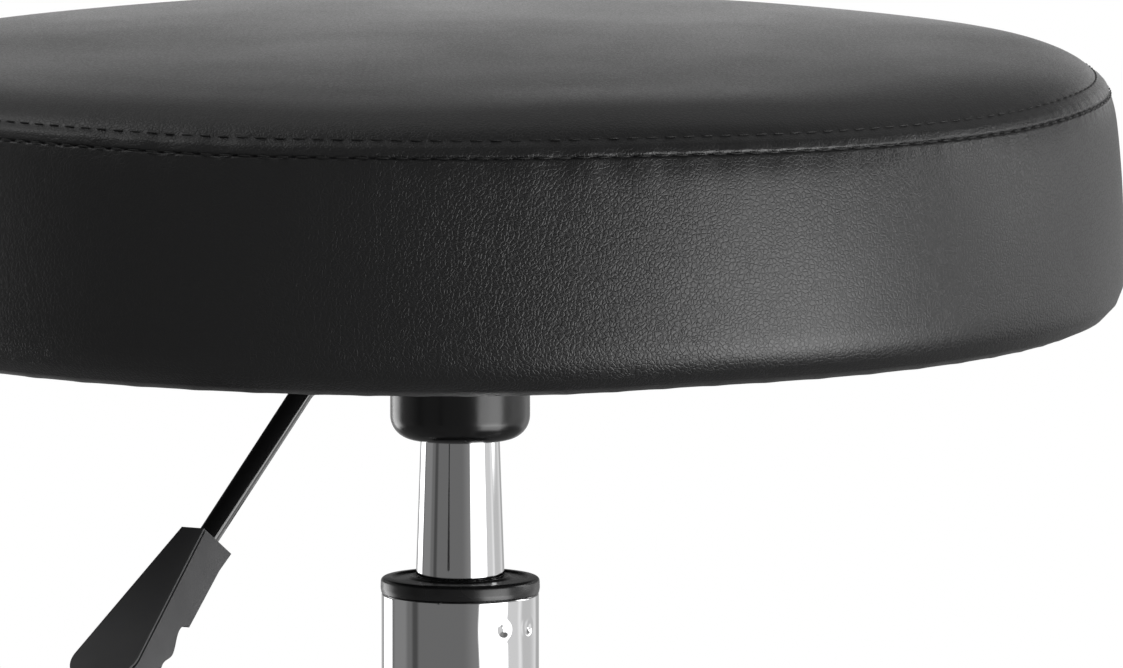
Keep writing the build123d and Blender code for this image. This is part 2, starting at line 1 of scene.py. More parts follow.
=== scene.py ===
"""Looks of the gas-lift drum throne: padded seat, chromed column, release lever and five-legged base."""

import json
import logging
from dataclasses import dataclass, field
from enum import Enum
from math import cos, exp, pi, radians, sin, tan

import bmesh
import bpy
import numpy as np
from mathutils import Matrix, Vector


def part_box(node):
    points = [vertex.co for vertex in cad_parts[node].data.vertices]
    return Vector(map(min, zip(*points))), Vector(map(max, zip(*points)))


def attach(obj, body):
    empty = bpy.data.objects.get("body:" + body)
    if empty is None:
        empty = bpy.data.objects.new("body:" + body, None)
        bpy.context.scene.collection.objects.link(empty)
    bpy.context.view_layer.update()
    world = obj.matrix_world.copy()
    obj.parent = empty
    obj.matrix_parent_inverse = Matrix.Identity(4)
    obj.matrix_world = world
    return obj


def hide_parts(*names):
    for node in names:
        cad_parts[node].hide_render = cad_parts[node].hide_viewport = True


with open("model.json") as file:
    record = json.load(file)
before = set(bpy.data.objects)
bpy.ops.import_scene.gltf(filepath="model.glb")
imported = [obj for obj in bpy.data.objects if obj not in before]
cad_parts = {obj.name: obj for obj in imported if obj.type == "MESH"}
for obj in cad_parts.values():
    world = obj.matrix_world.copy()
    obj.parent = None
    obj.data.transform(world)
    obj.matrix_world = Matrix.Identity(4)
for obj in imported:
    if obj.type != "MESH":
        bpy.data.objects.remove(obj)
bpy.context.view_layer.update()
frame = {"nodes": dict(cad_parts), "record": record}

log = logging.getLogger("throne")
MM = 0.001
TURN = 2 * pi
Point = tuple[float, float]


class Body(Enum):
    """The moving bodies that the new pieces ride on."""

    STAND = "stand"
    SEAT = "seat"
    LEVER = "lever"


class Slot(Enum):
    """The record's material slots."""

    BRIGHT_CHROME = "bright_chrome"
    BLACK_ENAMEL = "black_enamel"
    RING_PLASTIC = "ring_plastic"
    HANDLE_PLASTIC = "handle_plastic"
    FOOT_PLASTIC = "foot_plastic"
    SOLE_RUBBER = "sole_rubber"
    ZINC_STEEL = "zinc_steel"
    GROUND_STEEL = "ground_steel"
    TURNED_ALUMINIUM = "turned_aluminium"
    PLYWOOD = "plywood"
    DUST_CLOTH = "dust_cloth"
    SEAT_FOAM = "seat_foam"
    SEAT_VINYL = "seat_vinyl"


# ---- node helpers ---------------------------------------------------------------------------
class Tree:
    """Short ways to add and join shader nodes in one node tree."""

    def __init__(self, tree: bpy.types.NodeTree) -> None:
        """Start with an empty tree.

        Args:
            tree: the node tree of a material or a world.
        """
        self.tree = tree
        tree.nodes.clear()

    def add(self, kind: str, **inputs: object) -> bpy.types.Node:
        """Add a node and fill its inputs, by value or by link.

        Args:
            kind: the node's type name.
            **inputs: input names, with spaces written as underscores.

        Returns:
            The new node.
        """
        node = self.tree.nodes.new(kind)
        for name, value in inputs.items():
            self.feed(node, name.replace("_", " "), value)
        return node

    def feed(self, node: bpy.types.Node, name: str | int, value: object) -> None:
        """Set one input, or link an output to it."""
        if isinstance(value, bpy.types.NodeSocket):
            self.tree.links.new(value, node.inputs[name])
        else:
            node.inputs[name].default_value = value

    def math(self, operation: str, *values: object, clamp: bool = False) -> bpy.types.NodeSocket:
        """Do one sum on numbers or sockets.

        Args:
            operation: the Math node's operation.
            *values: one to three numbers or sockets.
            clamp: whether to keep the result between 0 and 1.

        Returns:
            The result's socket.
        """
        node = self.tree.nodes.new("ShaderNodeMath")
        node.operation = operation
        node.use_clamp = clamp
        for index, value in enumerate(values):
            self.feed(node, index, value)
        return node.outputs[0]

    def vector(self, operation: str, *values: object) -> bpy.types.Node:
        """Do one sum on vectors.

        Args:
            operation: the Vector Math node's operation.
            *values: one to three vectors or sockets.

        Returns:
            The node, whose result is a Vector or a Value.
        """
        node = self.tree.nodes.new("ShaderNodeVectorMath")
        node.operation = operation
        for index, value in enumerate(values):
            self.feed(node, index, value)
        return node

    def shader(self, kind: str, *values: object) -> bpy.types.NodeSocket:
        """Mix or add shaders, which are given in the order of the node's inputs.

        Args:
            kind: the node's type name.
            *values: shaders, and a share where the node takes one.

        Returns:
            The mixed shader.
        """
        node = self.tree.nodes.new(kind)
        for index, value in enumerate(values):
            self.feed(node, index, value)
        return node.outputs[0]

    def glow(self, kind: str, strength: float | bpy.types.NodeSocket) -> bpy.types.NodeSocket:
        """White light of one strength, from an Emission or a Background node."""
        return self.add(kind, Color=(1.0, 1.0, 1.0, 1.0), Strength=strength).outputs[0]

    def ramp(self, value: bpy.types.NodeSocket, low: float, high: float, start: float, end: float,
             smooth: bool = False) -> bpy.types.NodeSocket:
        """Map a value from one range to another.

        Args:
            value: the socket to map.
            low: where the input range starts.
            high: where it ends.
            start: the result at low.
            end: the result at high.
            smooth: whether the change eases in and out.

        Returns:
            The mapped value's socket.
        """
        node = self.tree.nodes.new("ShaderNodeMapRange")
        node.interpolation_type = "SMOOTHSTEP" if smooth else "LINEAR"
        for index, number in enumerate((value, low, high, start, end)):
            self.feed(node, index, number)
        return node.outputs[0]

    def object_point(self, scale: tuple[float, float, float] = (1, 1, 1)) -> bpy.types.NodeSocket:
        """The point on the object, in metres, stretched by scale."""
        where = self.add("ShaderNodeTexCoord").outputs["Object"]
        return self.add("ShaderNodeMapping", Vector=where, Scale=scale).outputs[0]

    def noise(self, point: bpy.types.NodeSocket, scale: float, detail: float = 2.0,
              roughness: float = 0.5) -> bpy.types.NodeSocket:
        """Cloudy noise from 0 to 1, with scale in features a metre."""
        node = self.add("ShaderNodeTexNoise", Vector=point, Scale=scale, Detail=detail, Roughness=roughness)
        return node.outputs["Fac"]

    def cells(self, point: bpy.types.NodeSocket, scale: float, feature: str = "F1") -> bpy.types.NodeSocket:
        """Distance in a cell pattern, with scale in cells a metre.

        Args:
            point: the pattern's coordinates.
            scale: cells a metre.
            feature: which distance of the pattern is meant.

        Returns:
            The distance.
        """
        node = self.tree.nodes.new("ShaderNodeTexVoronoi")
        node.feature = feature
        self.feed(node, "Vector", point)
        self.feed(node, "Scale", scale)
        return node.outputs["Distance"]

    def bump(self, height: bpy.types.NodeSocket, distance: float, strength: float = 1.0,
             normal: bpy.types.NodeSocket | None = None) -> bpy.types.NodeSocket:
        """A normal that tilts with a height, on top of another normal.

        Args:
            height: the height pattern.
            distance: its depth, in metres.
            strength: how much of the tilt is used.
            normal: the normal below it.

        Returns:
            The tilted normal.
        """
        node = self.add("ShaderNodeBump", Height=height, Distance=distance, Strength=strength)
        if normal is not None:
            self.feed(node, "Normal", normal)
        return node.outputs[0]

    def blend(self, share: bpy.types.NodeSocket, first: tuple, second: tuple) -> bpy.types.NodeSocket:
        """A colour between two colours.

        Args:
            share: 0 for the first colour and 1 for the second.
            first: red, green and blue.
            second: red, green and blue.

        Returns:
            The mixed colour.
        """
        node = self.tree.nodes.new("ShaderNodeMix")
        node.data_type = "RGBA"
        self.feed(node, 0, share)
        for index, colour in ((6, first), (7, second)):
            node.inputs[index].default_value = (*colour, 1.0)
        return node.outputs[2]


# ---- finishes -------------------------------------------------------------------------------
Colour = tuple[float, float, float]


@dataclass(frozen=True)
class Finish:
    """A plain dielectric finish with a cloudy surface, the base of every other finish."""

    name: str
    colour: Colour
    roughness: float
    metallic: float = 0.0
    ior: float = 1.5

    def make(self) -> bpy.types.Material:
        """Build the material.

        Returns:
            The finished material.
        """
        material = bpy.data.materials.new(self.name)
        material.use_nodes = True
        tree = Tree(material.node_tree)
        shader = tree.add("ShaderNodeBsdfPrincipled")
        shader.inputs["Base Color"].default_value = (*self.colour, 1.0)
        shader.inputs["Roughness"].default_value = self.roughness
        shader.inputs["Metallic"].default_value = self.metallic
        shader.inputs["IOR"].default_value = self.ior
        self.dress(tree, shader)
        tree.add("ShaderNodeOutputMaterial", Surface=shader.outputs[0])
        material.diffuse_color = (*self.colour, 1.0)
        return material

    def dress(self, tree: Tree, shader: bpy.types.Node) -> None:
        """Add this finish's pattern to the shader.

        Args:
            tree: the material's nodes.
            shader: the material's main shader.
        """
        cloud = tree.noise(tree.object_point(), 60.0, 3.0)
        rough = tree.ramp(cloud, 0.3, 0.7, self.roughness * 0.85, self.roughness * 1.15)
        tree.feed(shader, "Roughness", rough)


@dataclass(frozen=True)
class Vinyl(Finish):
    """Black upholstery vinyl with a fine pebble grain."""

    grain: float = 720.0
    grain_depth: float = 0.00008

    def dress(self, tree: Tree, shader: bpy.types.Node) -> None:
        """Pebbles in a warped cell pattern, fine pores, and a soft change of sheen.

        Args:
            tree: the material's nodes.
            shader: the material's main shader.
        """
        point = tree.object_point()
        sway = tree.add("ShaderNodeTexNoise", Vector=point, Scale=260.0, Detail=2.0)
        warped = tree.vector("MULTIPLY_ADD", sway.outputs["Color"], (0.0022, 0.0022, 0.0022), point).outputs[0]
        pebble = tree.ramp(tree.cells(warped, self.grain, "DISTANCE_TO_EDGE"), 0.0, 0.22, 0.0, 1.0, True)
        pores = tree.noise(point, 2600.0, 2.0)
        height = tree.math("ADD", pebble, tree.math("MULTIPLY", pores, 0.45))
        area = tree.noise(point, 9.0, 3.0)
        relief = tree.ramp(area, 0.35, 0.7, 0.45, 1.0)
        height = tree.math("MULTIPLY", height, relief)
        tree.feed(shader, "Normal", tree.bump(height, self.grain_depth))
        rough = tree.ramp(area, 0.3, 0.7, self.roughness - 0.03, self.roughness + 0.04)
        valley = tree.ramp(pebble, 0.0, 1.0, 0.08, 0.0)
        tree.feed(shader, "Roughness", tree.math("ADD", rough, valley))
        tone = tree.blend(area, self.colour, tuple(c * 1.25 for c in self.colour))
        tree.feed(shader, "Base Color", tone)


@dataclass(frozen=True)
class Chrome(Finish):
    """Polished chrome plate with the slight unevenness of drawn tube."""

    wave: float = 0.00004

    def dress(self, tree: Tree, shader: bpy.types.Node) -> None:
        """Long shallow draw waves and faint handling haze.

        Args:
            tree: the material's nodes.
            shader: the material's main shader.
        """
        long_waves = tree.noise(tree.object_point((1, 1, 0.12)), 90.0, 1.0)
        tree.feed(shader, "Normal", tree.bump(long_waves, self.wave))
        haze = tree.noise(tree.object_point(), 35.0, 4.0, 0.6)
        tree.feed(shader, "Roughness", tree.ramp(haze, 0.45, 0.75, self.roughness, self.roughness + 0.05))


@dataclass(frozen=True)
class Enamel(Finish):
    """Gloss black stove enamel with a little orange peel."""

    peel: float = 0.00002

    def dress(self, tree: Tree, shader: bpy.types.Node) -> None:
        """Orange peel and slight haze.

        Args:
            tree: the material's nodes.
            shader: the material's main shader.
        """
        point = tree.object_point()
        tree.feed(shader, "Normal", tree.bump(tree.noise(point, 420.0, 1.0), self.peel))
        haze = tree.noise(point, 70.0, 3.0)
        tree.feed(shader, "Roughness", tree.ramp(haze, 0.4, 0.7, self.roughness, self.roughness + 0.07))


@dataclass(frozen=True)
class Moulded(Finish):
    """Moulded plastic or rubber with a spark-eroded skin."""

    texture: float = 1500.0
    depth: float = 0.00004

    def dress(self, tree: Tree, shader: bpy.types.Node) -> None:
        """Fine even texture with patches that are rubbed smoother.

        Args:
            tree: the material's nodes.
            shader: the material's main shader.
        """
        point = tree.object_point()
        tree.feed(shader, "Normal", tree.bump(tree.noise(point, self.texture, 2.0), self.depth))
        worn = tree.noise(point, 55.0, 3.0)
        rough = tree.ramp(worn, 0.35, 0.7, self.roughness + 0.05, self.roughness - 0.07)
        tree.feed(shader, "Roughness", rough)
        tone = tree.blend(worn, self.colour, tuple(c * 1.35 for c in self.colour))
        tree.feed(shader, "Base Color", tone)


@dataclass(frozen=True)
class Brushed(Finish):
    """Zinc-plated, ground or turned metal with fine marks round the column's axis."""

    marks: float = 1800.0

    def dress(self, tree: Tree, shader: bpy.types.Node) -> None:
        """Fine marks and cloudy plating.

        Args:
            tree: the material's nodes.
            shader: the material's main shader.
        """
        streaks = tree.noise(tree.object_point((0.08, 0.08, 1.0)), self.marks, 1.0)
        tree.feed(shader, "Normal", tree.bump(streaks, 0.00001))
        cloud = tree.noise(tree.object_point(), 160.0, 3.0)
        tree.feed(shader, "Roughness", tree.ramp(cloud, 0.3, 0.7, self.roughness * 0.8, self.roughness * 1.25))
        tone = tree.blend(cloud, self.colour, tuple(c * 0.82 for c in self.colour))
        tree.feed(shader, "Base Color", tone)


@dataclass(frozen=True)
class Plywood(Finish):
    """Birch plywood: veneer grain on the face and five plies at the edge."""

    ply: float = 0.0024

    def dress(self, tree: Tree, shader: bpy.types.Node) -> None:
        """Grain along X and dark and light plies in height.

        Args:
            tree: the material's nodes.
            shader: the material's main shader.
        """
        point = tree.object_point((0.06, 1.0, 1.0))
        grain = tree.noise(point, 420.0, 4.0, 0.6)
        where = tree.add("ShaderNodeSeparateXYZ", Vector=tree.object_point()).outputs[2]
        layer = tree.math("PINGPONG", tree.math("DIVIDE", where, self.ply), 1.0)
        share = tree.math("MULTIPLY", tree.ramp(layer, 0.45, 0.55, 0.25, 1.0, True), grain)
        tree.feed(shader, "Base Color", tree.blend(share, self.colour, tuple(c * 0.55 for c in self.colour)))
        tree.feed(shader, "Normal", tree.bump(grain, 0.00006))


@dataclass(frozen=True)
class Cloth(Finish):
    """Spun-bonded or woven black cloth."""

    weave: float = 1100.0

    def dress(self, tree: Tree, shader: bpy.types.Node) -> None:
        """Crossed fibres and a dusty cloud.

        Args:
            tree: the material's nodes.
            shader: the material's main shader.
        """
        along = tree.noise(tree.object_point((0.15, 1.0, 1.0)), self.weave, 2.0)
        across = tree.noise(tree.object_point((1.0, 0.15, 1.0)), self.weave, 2.0)
        height = tree.math("MAXIMUM", along, across)
        tree.feed(shader, "Normal", tree.bump(height, 0.00015))
        cloud = tree.noise(tree.object_point(), 25.0, 3.0)
        tree.feed(shader, "Base Color", tree.blend(cloud, self.colour, tuple(c * 1.8 for c in self.colour)))


VINYL = Vinyl("black_vinyl", (0.0105, 0.0105, 0.011), 0.36, ior=1.57)
THREAD = Moulded("black_thread", (0.012, 0.012, 0.012), 0.5, texture=5000.0, depth=0.0001)
CHROME = Chrome("bright_chrome", (0.68, 0.68, 0.685), 0.045, metallic=1.0)
ENAMEL = Enamel("black_enamel", (0.008, 0.008, 0.0085), 0.2)
ROD_ENAMEL = Enamel("rod_enamel", (0.008, 0.008, 0.0085), 0.1, ior=1.85)
RING_PLASTIC = Moulded("ring_plastic", (0.012, 0.012, 0.0125), 0.27, texture=900.0, depth=0.00001)
HANDLE_PLASTIC = Moulded("handle_plastic", (0.072, 0.072, 0.074), 0.55, ior=1.35)
FOOT_PLASTIC = Moulded("foot_plastic", (0.014, 0.014, 0.0145), 0.33, depth=0.00002)
SOLE_RUBBER = Moulded("sole_rubber", (0.02, 0.02, 0.02), 0.72, texture=800.0, depth=0.00008)
ZINC = Brushed("zinc_steel", (0.6, 0.6, 0.58), 0.3, metallic=1.0)
GROUND = Brushed("ground_steel", (0.56, 0.56, 0.56), 0.18, metallic=1.0)
TURNED = Brushed("turned_aluminium", (0.72, 0.72, 0.72), 0.28, metallic=1.0, marks=900.0)
PLY = Plywood("birch_plywood", (0.68, 0.5, 0.32), 0.6)
DUST_CLOTH = Cloth("dust_cloth", (0.018, 0.018, 0.018), 0.9)
FOAM = Cloth("seat_foam", (0.72, 0.66, 0.5), 0.95, weave=700.0)


# ---- mesh helpers ---------------------------------------------------------------------------
def corner(before: Point, at: Point, after: Point, radius: float, steps: int = 6) -> list[Point]:
    """Points of the arc that rounds one corner of an outline.

    Args:
        before: the corner before.
        at: the corner to round.
        after: the corner after.
        radius: the arc's radius.
        steps: how many pieces the arc has.

    Returns:
        The arc's points, from the side of before to the side of after.
    """
    a, b, c = Vector(before), Vector(at), Vector(after)
    to_a, to_c = (a - b).normalized(), (c - b).normalized()
    half = to_a.angle(to_c) / 2
    reach = radius / tan(half)
    centre = b + (to_a + to_c).normalized() * (radius / sin(half))
    first, last = b + to_a * reach, b + to_c * reach
    from_centre, sweep = first - centre, (first - centre).angle_signed(last - centre)
    points = []
    for step in range(steps + 1):
        turned = from_centre.copy()
        turned.rotate(Matrix.Rotation(-sweep * step / steps, 2))
        points.append(tuple(centre + turned))
    return points


def outline(*corners: tuple[float, float] | tuple[float, float, float]) -> list[Point]:
    """An outline in millimetres, with the corners that give a radius rounded.

    Args:
        *corners: radius from the axis, height and, where the corner is rounded, its radius.

    Returns:
        The outline's points, in metres.
    """
    points: list[Point] = []
    for index, spot in enumerate(corners):
        if len(spot) == 3:
            before, after = corners[index - 1][:2], corners[(index + 1) % len(corners)][:2]
            points += corner(before, spot[:2], after, spot[2])
        else:
            points.append(spot)
    return [(r * MM, z * MM) for r, z in points]


def copy_round(bm: bmesh.types.BMesh, count: int) -> None:
    """Copy what is built round the Z axis, so that there are count of it at equal angles."""
    bmesh.ops.spin(bm, geom=bm.verts[:] + bm.edges[:] + bm.faces[:], cent=(0, 0, 0), axis=(0, 0, 1),
                   dvec=(0, 0, 0), angle=TURN * (1 - 1 / count), steps=count - 1, use_merge=False,
                   use_normal_flip=False, use_duplicate=True)


def lathe(bm: bmesh.types.BMesh, points: list[Point], steps: int, closed: bool = True) -> None:
    """Turn an outline about the Z axis into a closed skin.

    Args:
        bm: the mesh that takes the skin.
        points: the outline, in metres.
        steps: how many pieces go round.
        closed: whether the outline's last point joins its first.
    """
    verts = [bm.verts.new((r, 0.0, z)) for r, z in points]
    pairs = list(zip(verts, verts[1:])) + ([(verts[-1], verts[0])] if closed else [])
    edges = [bm.edges.new(pair) for pair in pairs]
    sectors = next(count for count in (16, 12, 8, 6, 4, 3, 2) if steps % count == 0)
    bmesh.ops.spin(bm, geom=verts + edges, cent=(0, 0, 0), axis=(0, 0, 1), dvec=(0, 0, 0),
                   angle=TURN / sectors, steps=steps // sectors, use_merge=False, use_normal_flip=False,
                   use_duplicate=False)
    copy_round(bm, sectors)
    bmesh.ops.remove_doubles(bm, verts=bm.verts, dist=2e-6)
    bmesh.ops.dissolve_degenerate(bm, edges=bm.edges, dist=1e-7)
    bmesh.ops.recalc_face_normals(bm, faces=bm.faces)


def skin(bm: bmesh.types.BMesh, rings: list[list[Vector]]) -> None:
    """Join equal rings of points, one after another, into a closed skin with capped ends.

    Args:
        bm: the mesh that takes the skin.
        rings: the rings, in metres.
    """
    rows = [[bm.verts.new(spot) for spot in ring] for ring in rings]
    for first, second in zip(rows, rows[1:]):
        for index in range(len(first)):
            bm.faces.new((first[index - 1], first[index], second[index], second[index - 1]))
    bm.faces.new(rows[0])
    bm.faces.new(rows[-1])
    bmesh.ops.recalc_face_normals(bm, faces=bm.faces)


def legs_round(bm: bmesh.types.BMesh, count: int, start_deg: float) -> None:
    """Turn what is built along +X to the first leg's direction and copy it round to the others.

    Args:
        bm: the mesh to copy.
        count: how many copies there are in all.
        start_deg: the first one's direction.
    """
    bmesh.ops.rotate(bm, verts=bm.verts, cent=(0, 0, 0), matrix=Matrix.Rotation(radians(start_deg), 3, "Z"))
    copy_round(bm, count)


def softened(node: str, name: str, finish: Finish, width: float, sharp_deg: float = 35.0) -> bpy.types.Object:
    """A copy of a CAD node's skin with its sharp edges rounded.

    Args:
        node: the CAD node.
        name: the copy's name.
        finish: its finish.
        width: how far each rounding reaches, in millimetres.
        sharp_deg: edges that turn by more than this are rounded.

    Returns:
        The rounded copy.
    """
    source = frame["nodes"][node]
    bm = bmesh.new()
    bm.from_mesh(source.data)
    bm.transform(source.matrix_world)
    bmesh.ops.remove_doubles(bm, verts=bm.verts, dist=1e-6)
    bmesh.ops.dissolve_limit(bm, angle_limit=radians(1.0), verts=bm.verts[:], edges=bm.edges[:])
    sharp = [e for e in bm.edges if len(e.link_faces) == 2 and e.calc_face_angle() > radians(sharp_deg)]
    bmesh.ops.bevel(bm, geom=sharp, offset=width * MM, offset_type="OFFSET", segments=3, profile=0.5,
                    affect="EDGES", clamp_overlap=True, material=-1)
    return finish_mesh(bm, name, finish, sharp_deg)


def finish_mesh(bm: bmesh.types.BMesh, name: str, finish: Finish, sharp_deg: float = 40.0) -> bpy.types.Object:
    """Make an object of a mesh, shade it and give it its finish.

    Args:
        bm: the mesh, which is freed.
        name: the object's name.
        finish: its finish.
        sharp_deg: edges that turn by more than this stay sharp.

    Returns:
        The new object.
    """
    mesh = bpy.data.meshes.new(name)
    bm.to_mesh(mesh)
    bm.free()
    mesh.shade_smooth()
    mesh.set_sharp_from_angle(angle=radians(sharp_deg))
    mesh.materials.append(material_of(finish))
    piece = bpy.data.objects.new(name, mesh)
    bpy.context.scene.collection.objects.link(piece)
    return piece


_made: dict[str, bpy.types.Material] = {}


def material_of(finish: Finish) -> bpy.types.Material:
    """The one material of a finish, made when it is first asked for."""
    if finish.name not in _made:
        _made[finish.name] = finish.make()
    return _made[finish.name]


def place(piece: bpy.types.Object, body: Body, slot: Slot, *nodes: str) -> bpy.types.Object:
    """Let a piece ride on a body and stand for CAD nodes, which are hidden.

    Args:
        piece: the new piece.
        body: the body it moves with.
        slot: the record's material slot; not used.
        *nodes: the CAD nodes that it stands for.

    Returns:
        The piece.
    """
    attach(piece, body.value)
    if nodes:
        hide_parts(*nodes)
    log.info("%s: %d faces on %s", piece.name, len(piece.data.polygons), body.value)
    return piece


def coordinates(mesh: bpy.types.Mesh) -> np.ndarray:
    """The mesh's vertices as rows of x, y and z, in metres.

    Args:
        mesh: the mesh to read.

    Returns:
        One row for each vertex.
    """
    flat = np.empty(len(mesh.vertices) * 3)
    mesh.vertices.foreach_get("co", flat)
    return flat.reshape(-1, 3)


def polar(points: np.ndarray) -> tuple[np.ndarray, np.ndarray]:
    """The angle round the Z axis and the distance from it, for rows of x, y and z."""
    return np.arctan2(points[:, 1], points[:, 0]), np.hypot(points[:, 0], points[:, 1])


def set_polar(points: np.ndarray, turn: np.ndarray, level: np.ndarray) -> None:
    """Put rows of x, y and z at new angles round the Z axis and distances from it."""
    points[:, 0], points[:, 1] = level * np.cos(turn), level * np.sin(turn)


def move_to(mesh: bpy.types.Mesh, points: np.ndarray) -> None:
    """Put the mesh's vertices at new places."""
    mesh.vertices.foreach_set("co", points.ravel())
    mesh.update()


# ---- CAD nodes that keep their shape ----------------------------------------------------------
FINISH_OF_SLOT = {
    Slot.BRIGHT_CHROME: CHROME,
    Slot.BLACK_ENAMEL: ENAMEL,
    Slot.RING_PLASTIC: RING_PLASTIC,
    Slot.HANDLE_PLASTIC: HANDLE_PLASTIC,
    Slot.FOOT_PLASTIC: FOOT_PLASTIC,
    Slot.SOLE_RUBBER: SOLE_RUBBER,
    Slot.ZINC_STEEL: ZINC,
    Slot.GROUND_STEEL: GROUND,
    Slot.TURNED_ALUMINIUM: TURNED,
    Slot.PLYWOOD: PLY,
    Slot.DUST_CLOTH: DUST_CLOTH,
    Slot.SEAT_FOAM: FOAM,
    Slot.SEAT_VINYL: VINYL,
}


def dress_nodes() -> None:
    """Give every CAD node the finish of its slot."""
    for part in frame["record"]["subparts"]:
        finish = FINISH_OF_SLOT[Slot(part["material_slot"])]
        mesh = frame["nodes"][part["node"]].data
        mesh.materials.clear()
        mesh.materials.append(material_of(finish))


# ---- seat -----------------------------------------------------------------------------------
@dataclass
class Panel:
    """One sewn panel's outer line, from the seam to its far end, and how far each point is from the seam."""

    radius: np.ndarray
    height: np.ndarray

    def __post_init__(self) -> None:
        """Measure the line."""
        steps = np.hypot(np.diff(self.radius), np.diff(self.height))
        self.along = np.concatenate(([0.0], np.cumsum(steps)))

    def rings(self, first: float, growth: float, widest: float) -> np.ndarray:
        """Distances from the seam that are close together near it and wider away from it.

        Args:
            first: the first step, in millimetres.
            growth: how much each step grows with the distance.
            widest: the largest step.

        Returns:
            The distances, from the seam to the far end.
        """
        length = self.along[-1]
        places = [0.0]
        while places[-1] < length:
            places.append(places[-1] + min(first + growth * places[-1], widest))
        return np.array(places) * (length / places[-1])

    def at(self, along: np.ndarray) -> tuple[np.ndarray, np.ndarray]:
        """Radius and height of the line at distances from the seam."""
        return np.interp(along, self.along, self.radius), np.interp(along, self.along, self.height)

    def facing(self, along: np.ndarray) -> tuple[np.ndarray, np.ndarray]:
        """The outward direction, as radius and height parts, at distances from the seam.

        Args:
            along: distances from the seam, in millimetres.

        Returns:
            The radius part and the height part.
        """
        ahead = self.at(np.minimum(along + 0.4, self.along[-1]))
        behind = self.at(np.maximum(along - 0.4, 0.0))
        run, rise = ahead[0] - behind[0], ahead[1] - behind[1]
        size = np.hypot(run, rise)
        side = np.where(self.height[-1] > self.height[0], 1.0, -1.0)
        return side * rise / size, -side * run / size


@dataclass
class Seam:
    """The sewn edge: a pinched groove, a second row of stitches over it, and the gathers beside both."""

    stitches: int = 208
    row_gap: float = 7.2
    groove: float = 0.95
    groove_half: float = 0.65
    pit: float = 1.7
    pull_in: float = 1.0
    pull_reach: float = 4.6
    row_depth: float = 0.2
    row_half: float = 0.75
    gather: float = 0.13
    ruck: float = 0.24
    high_at: float = radians(190)
    dip_at: float = radians(262)
    dip_width: float = radians(16)
    dip: float = 1.0
    busiest: float = radians(186)

    def __post_init__(self) -> None:
        """Draw the unevenness of hand-guided sewing."""
        draw = np.random.default_rng(7)
        self.tightness = draw.normal(0.0, 1.0, self.stitches)
        self.waves = draw.normal(0.0, 1.0, (26, 2))

    def rise(self, turn: np.ndarray) -> np.ndarray:
        """How far the seam line wanders up or down at each angle, in millimetres.

        Args:
            turn: angles round the seat.

        Returns:
            The shift at each angle.
        """
        away = (turn - self.dip_at + pi) % TURN - pi
        dip = self.dip * np.exp(-((away / self.dip_width) ** 2))
        slow = 0.35 * np.cos(2 * (turn - self.high_at))
        return slow - dip + 0.15 * np.sin(7 * turn) + 0.1 * np.sin(13 * turn)

    def uneven(self, turn: np.ndarray) -> np.ndarray:
        """Irregular rucks round the seat, about -1 to 1.

        Args:
            turn: angles round the seat.

        Returns:
            One value for each angle.
        """
        total = np.zeros_like(turn)
        for number, (first, second) in enumerate(self.waves, start=44):
            pace = number + 3 * (number % 7)
            total += first * np.cos(pace * turn) + second * np.sin(pace * turn)
        return total / 7.0

    def hold(self, turn: np.ndarray) -> np.ndarray:
        """How tight each stitch is, about 1."""
        index = np.floor(turn / TURN * self.stitches).astype(int) % self.stitches
        return 1.0 + 0.16 * self.tightness[index]

    def relief(self, turn: np.ndarray, along: np.ndarray, top: bool) -> np.ndarray:
        """How far the vinyl stands out, in millimetres, at an angle and a distance from the seam.

        Args:
            turn: angles round the seat.
            along: distances from the seam.
            top: whether this is the top panel, which has the second row.

        Returns:
            The outward offsets.
        """
        beat = turn / TURN * self.stitches
        knot = np.exp(-((np.abs(beat - np.round(beat)) / 0.17) ** 2))
        depth = self.groove + self.pit * knot * self.hold(turn)
        out = -depth * np.exp(-((along / self.groove_half) ** 2))
        out -= self.pull_in * np.exp(-((along / self.pull_reach) ** 1.6))
        busy = 0.75 + 0.6 * np.cos(turn - self.busiest)
        out += self.gather * np.cos(TURN * beat) * self.hold(turn) * np.exp(-np.abs(along) / 2.6)
        out += self.ruck * busy * self.uneven(turn) * np.exp(-np.abs(along) / 5.0)
        if top:
            second = beat + 0.37
            hole = np.exp(-((np.abs(second - np.round(second)) / 0.2) ** 2))
            trough = np.exp(-(((along - self.row_gap) / self.row_half) ** 2))
            out -= self.row_depth * (0.6 + 0.75 * hole) * trough
            out += 0.3 * np.exp(-(((along - 0.5 * self.row_gap) / 1.6) ** 2))
            out -= 0.35 * np.exp(-(((along - self.row_gap) / 3.0) ** 2))
        return out


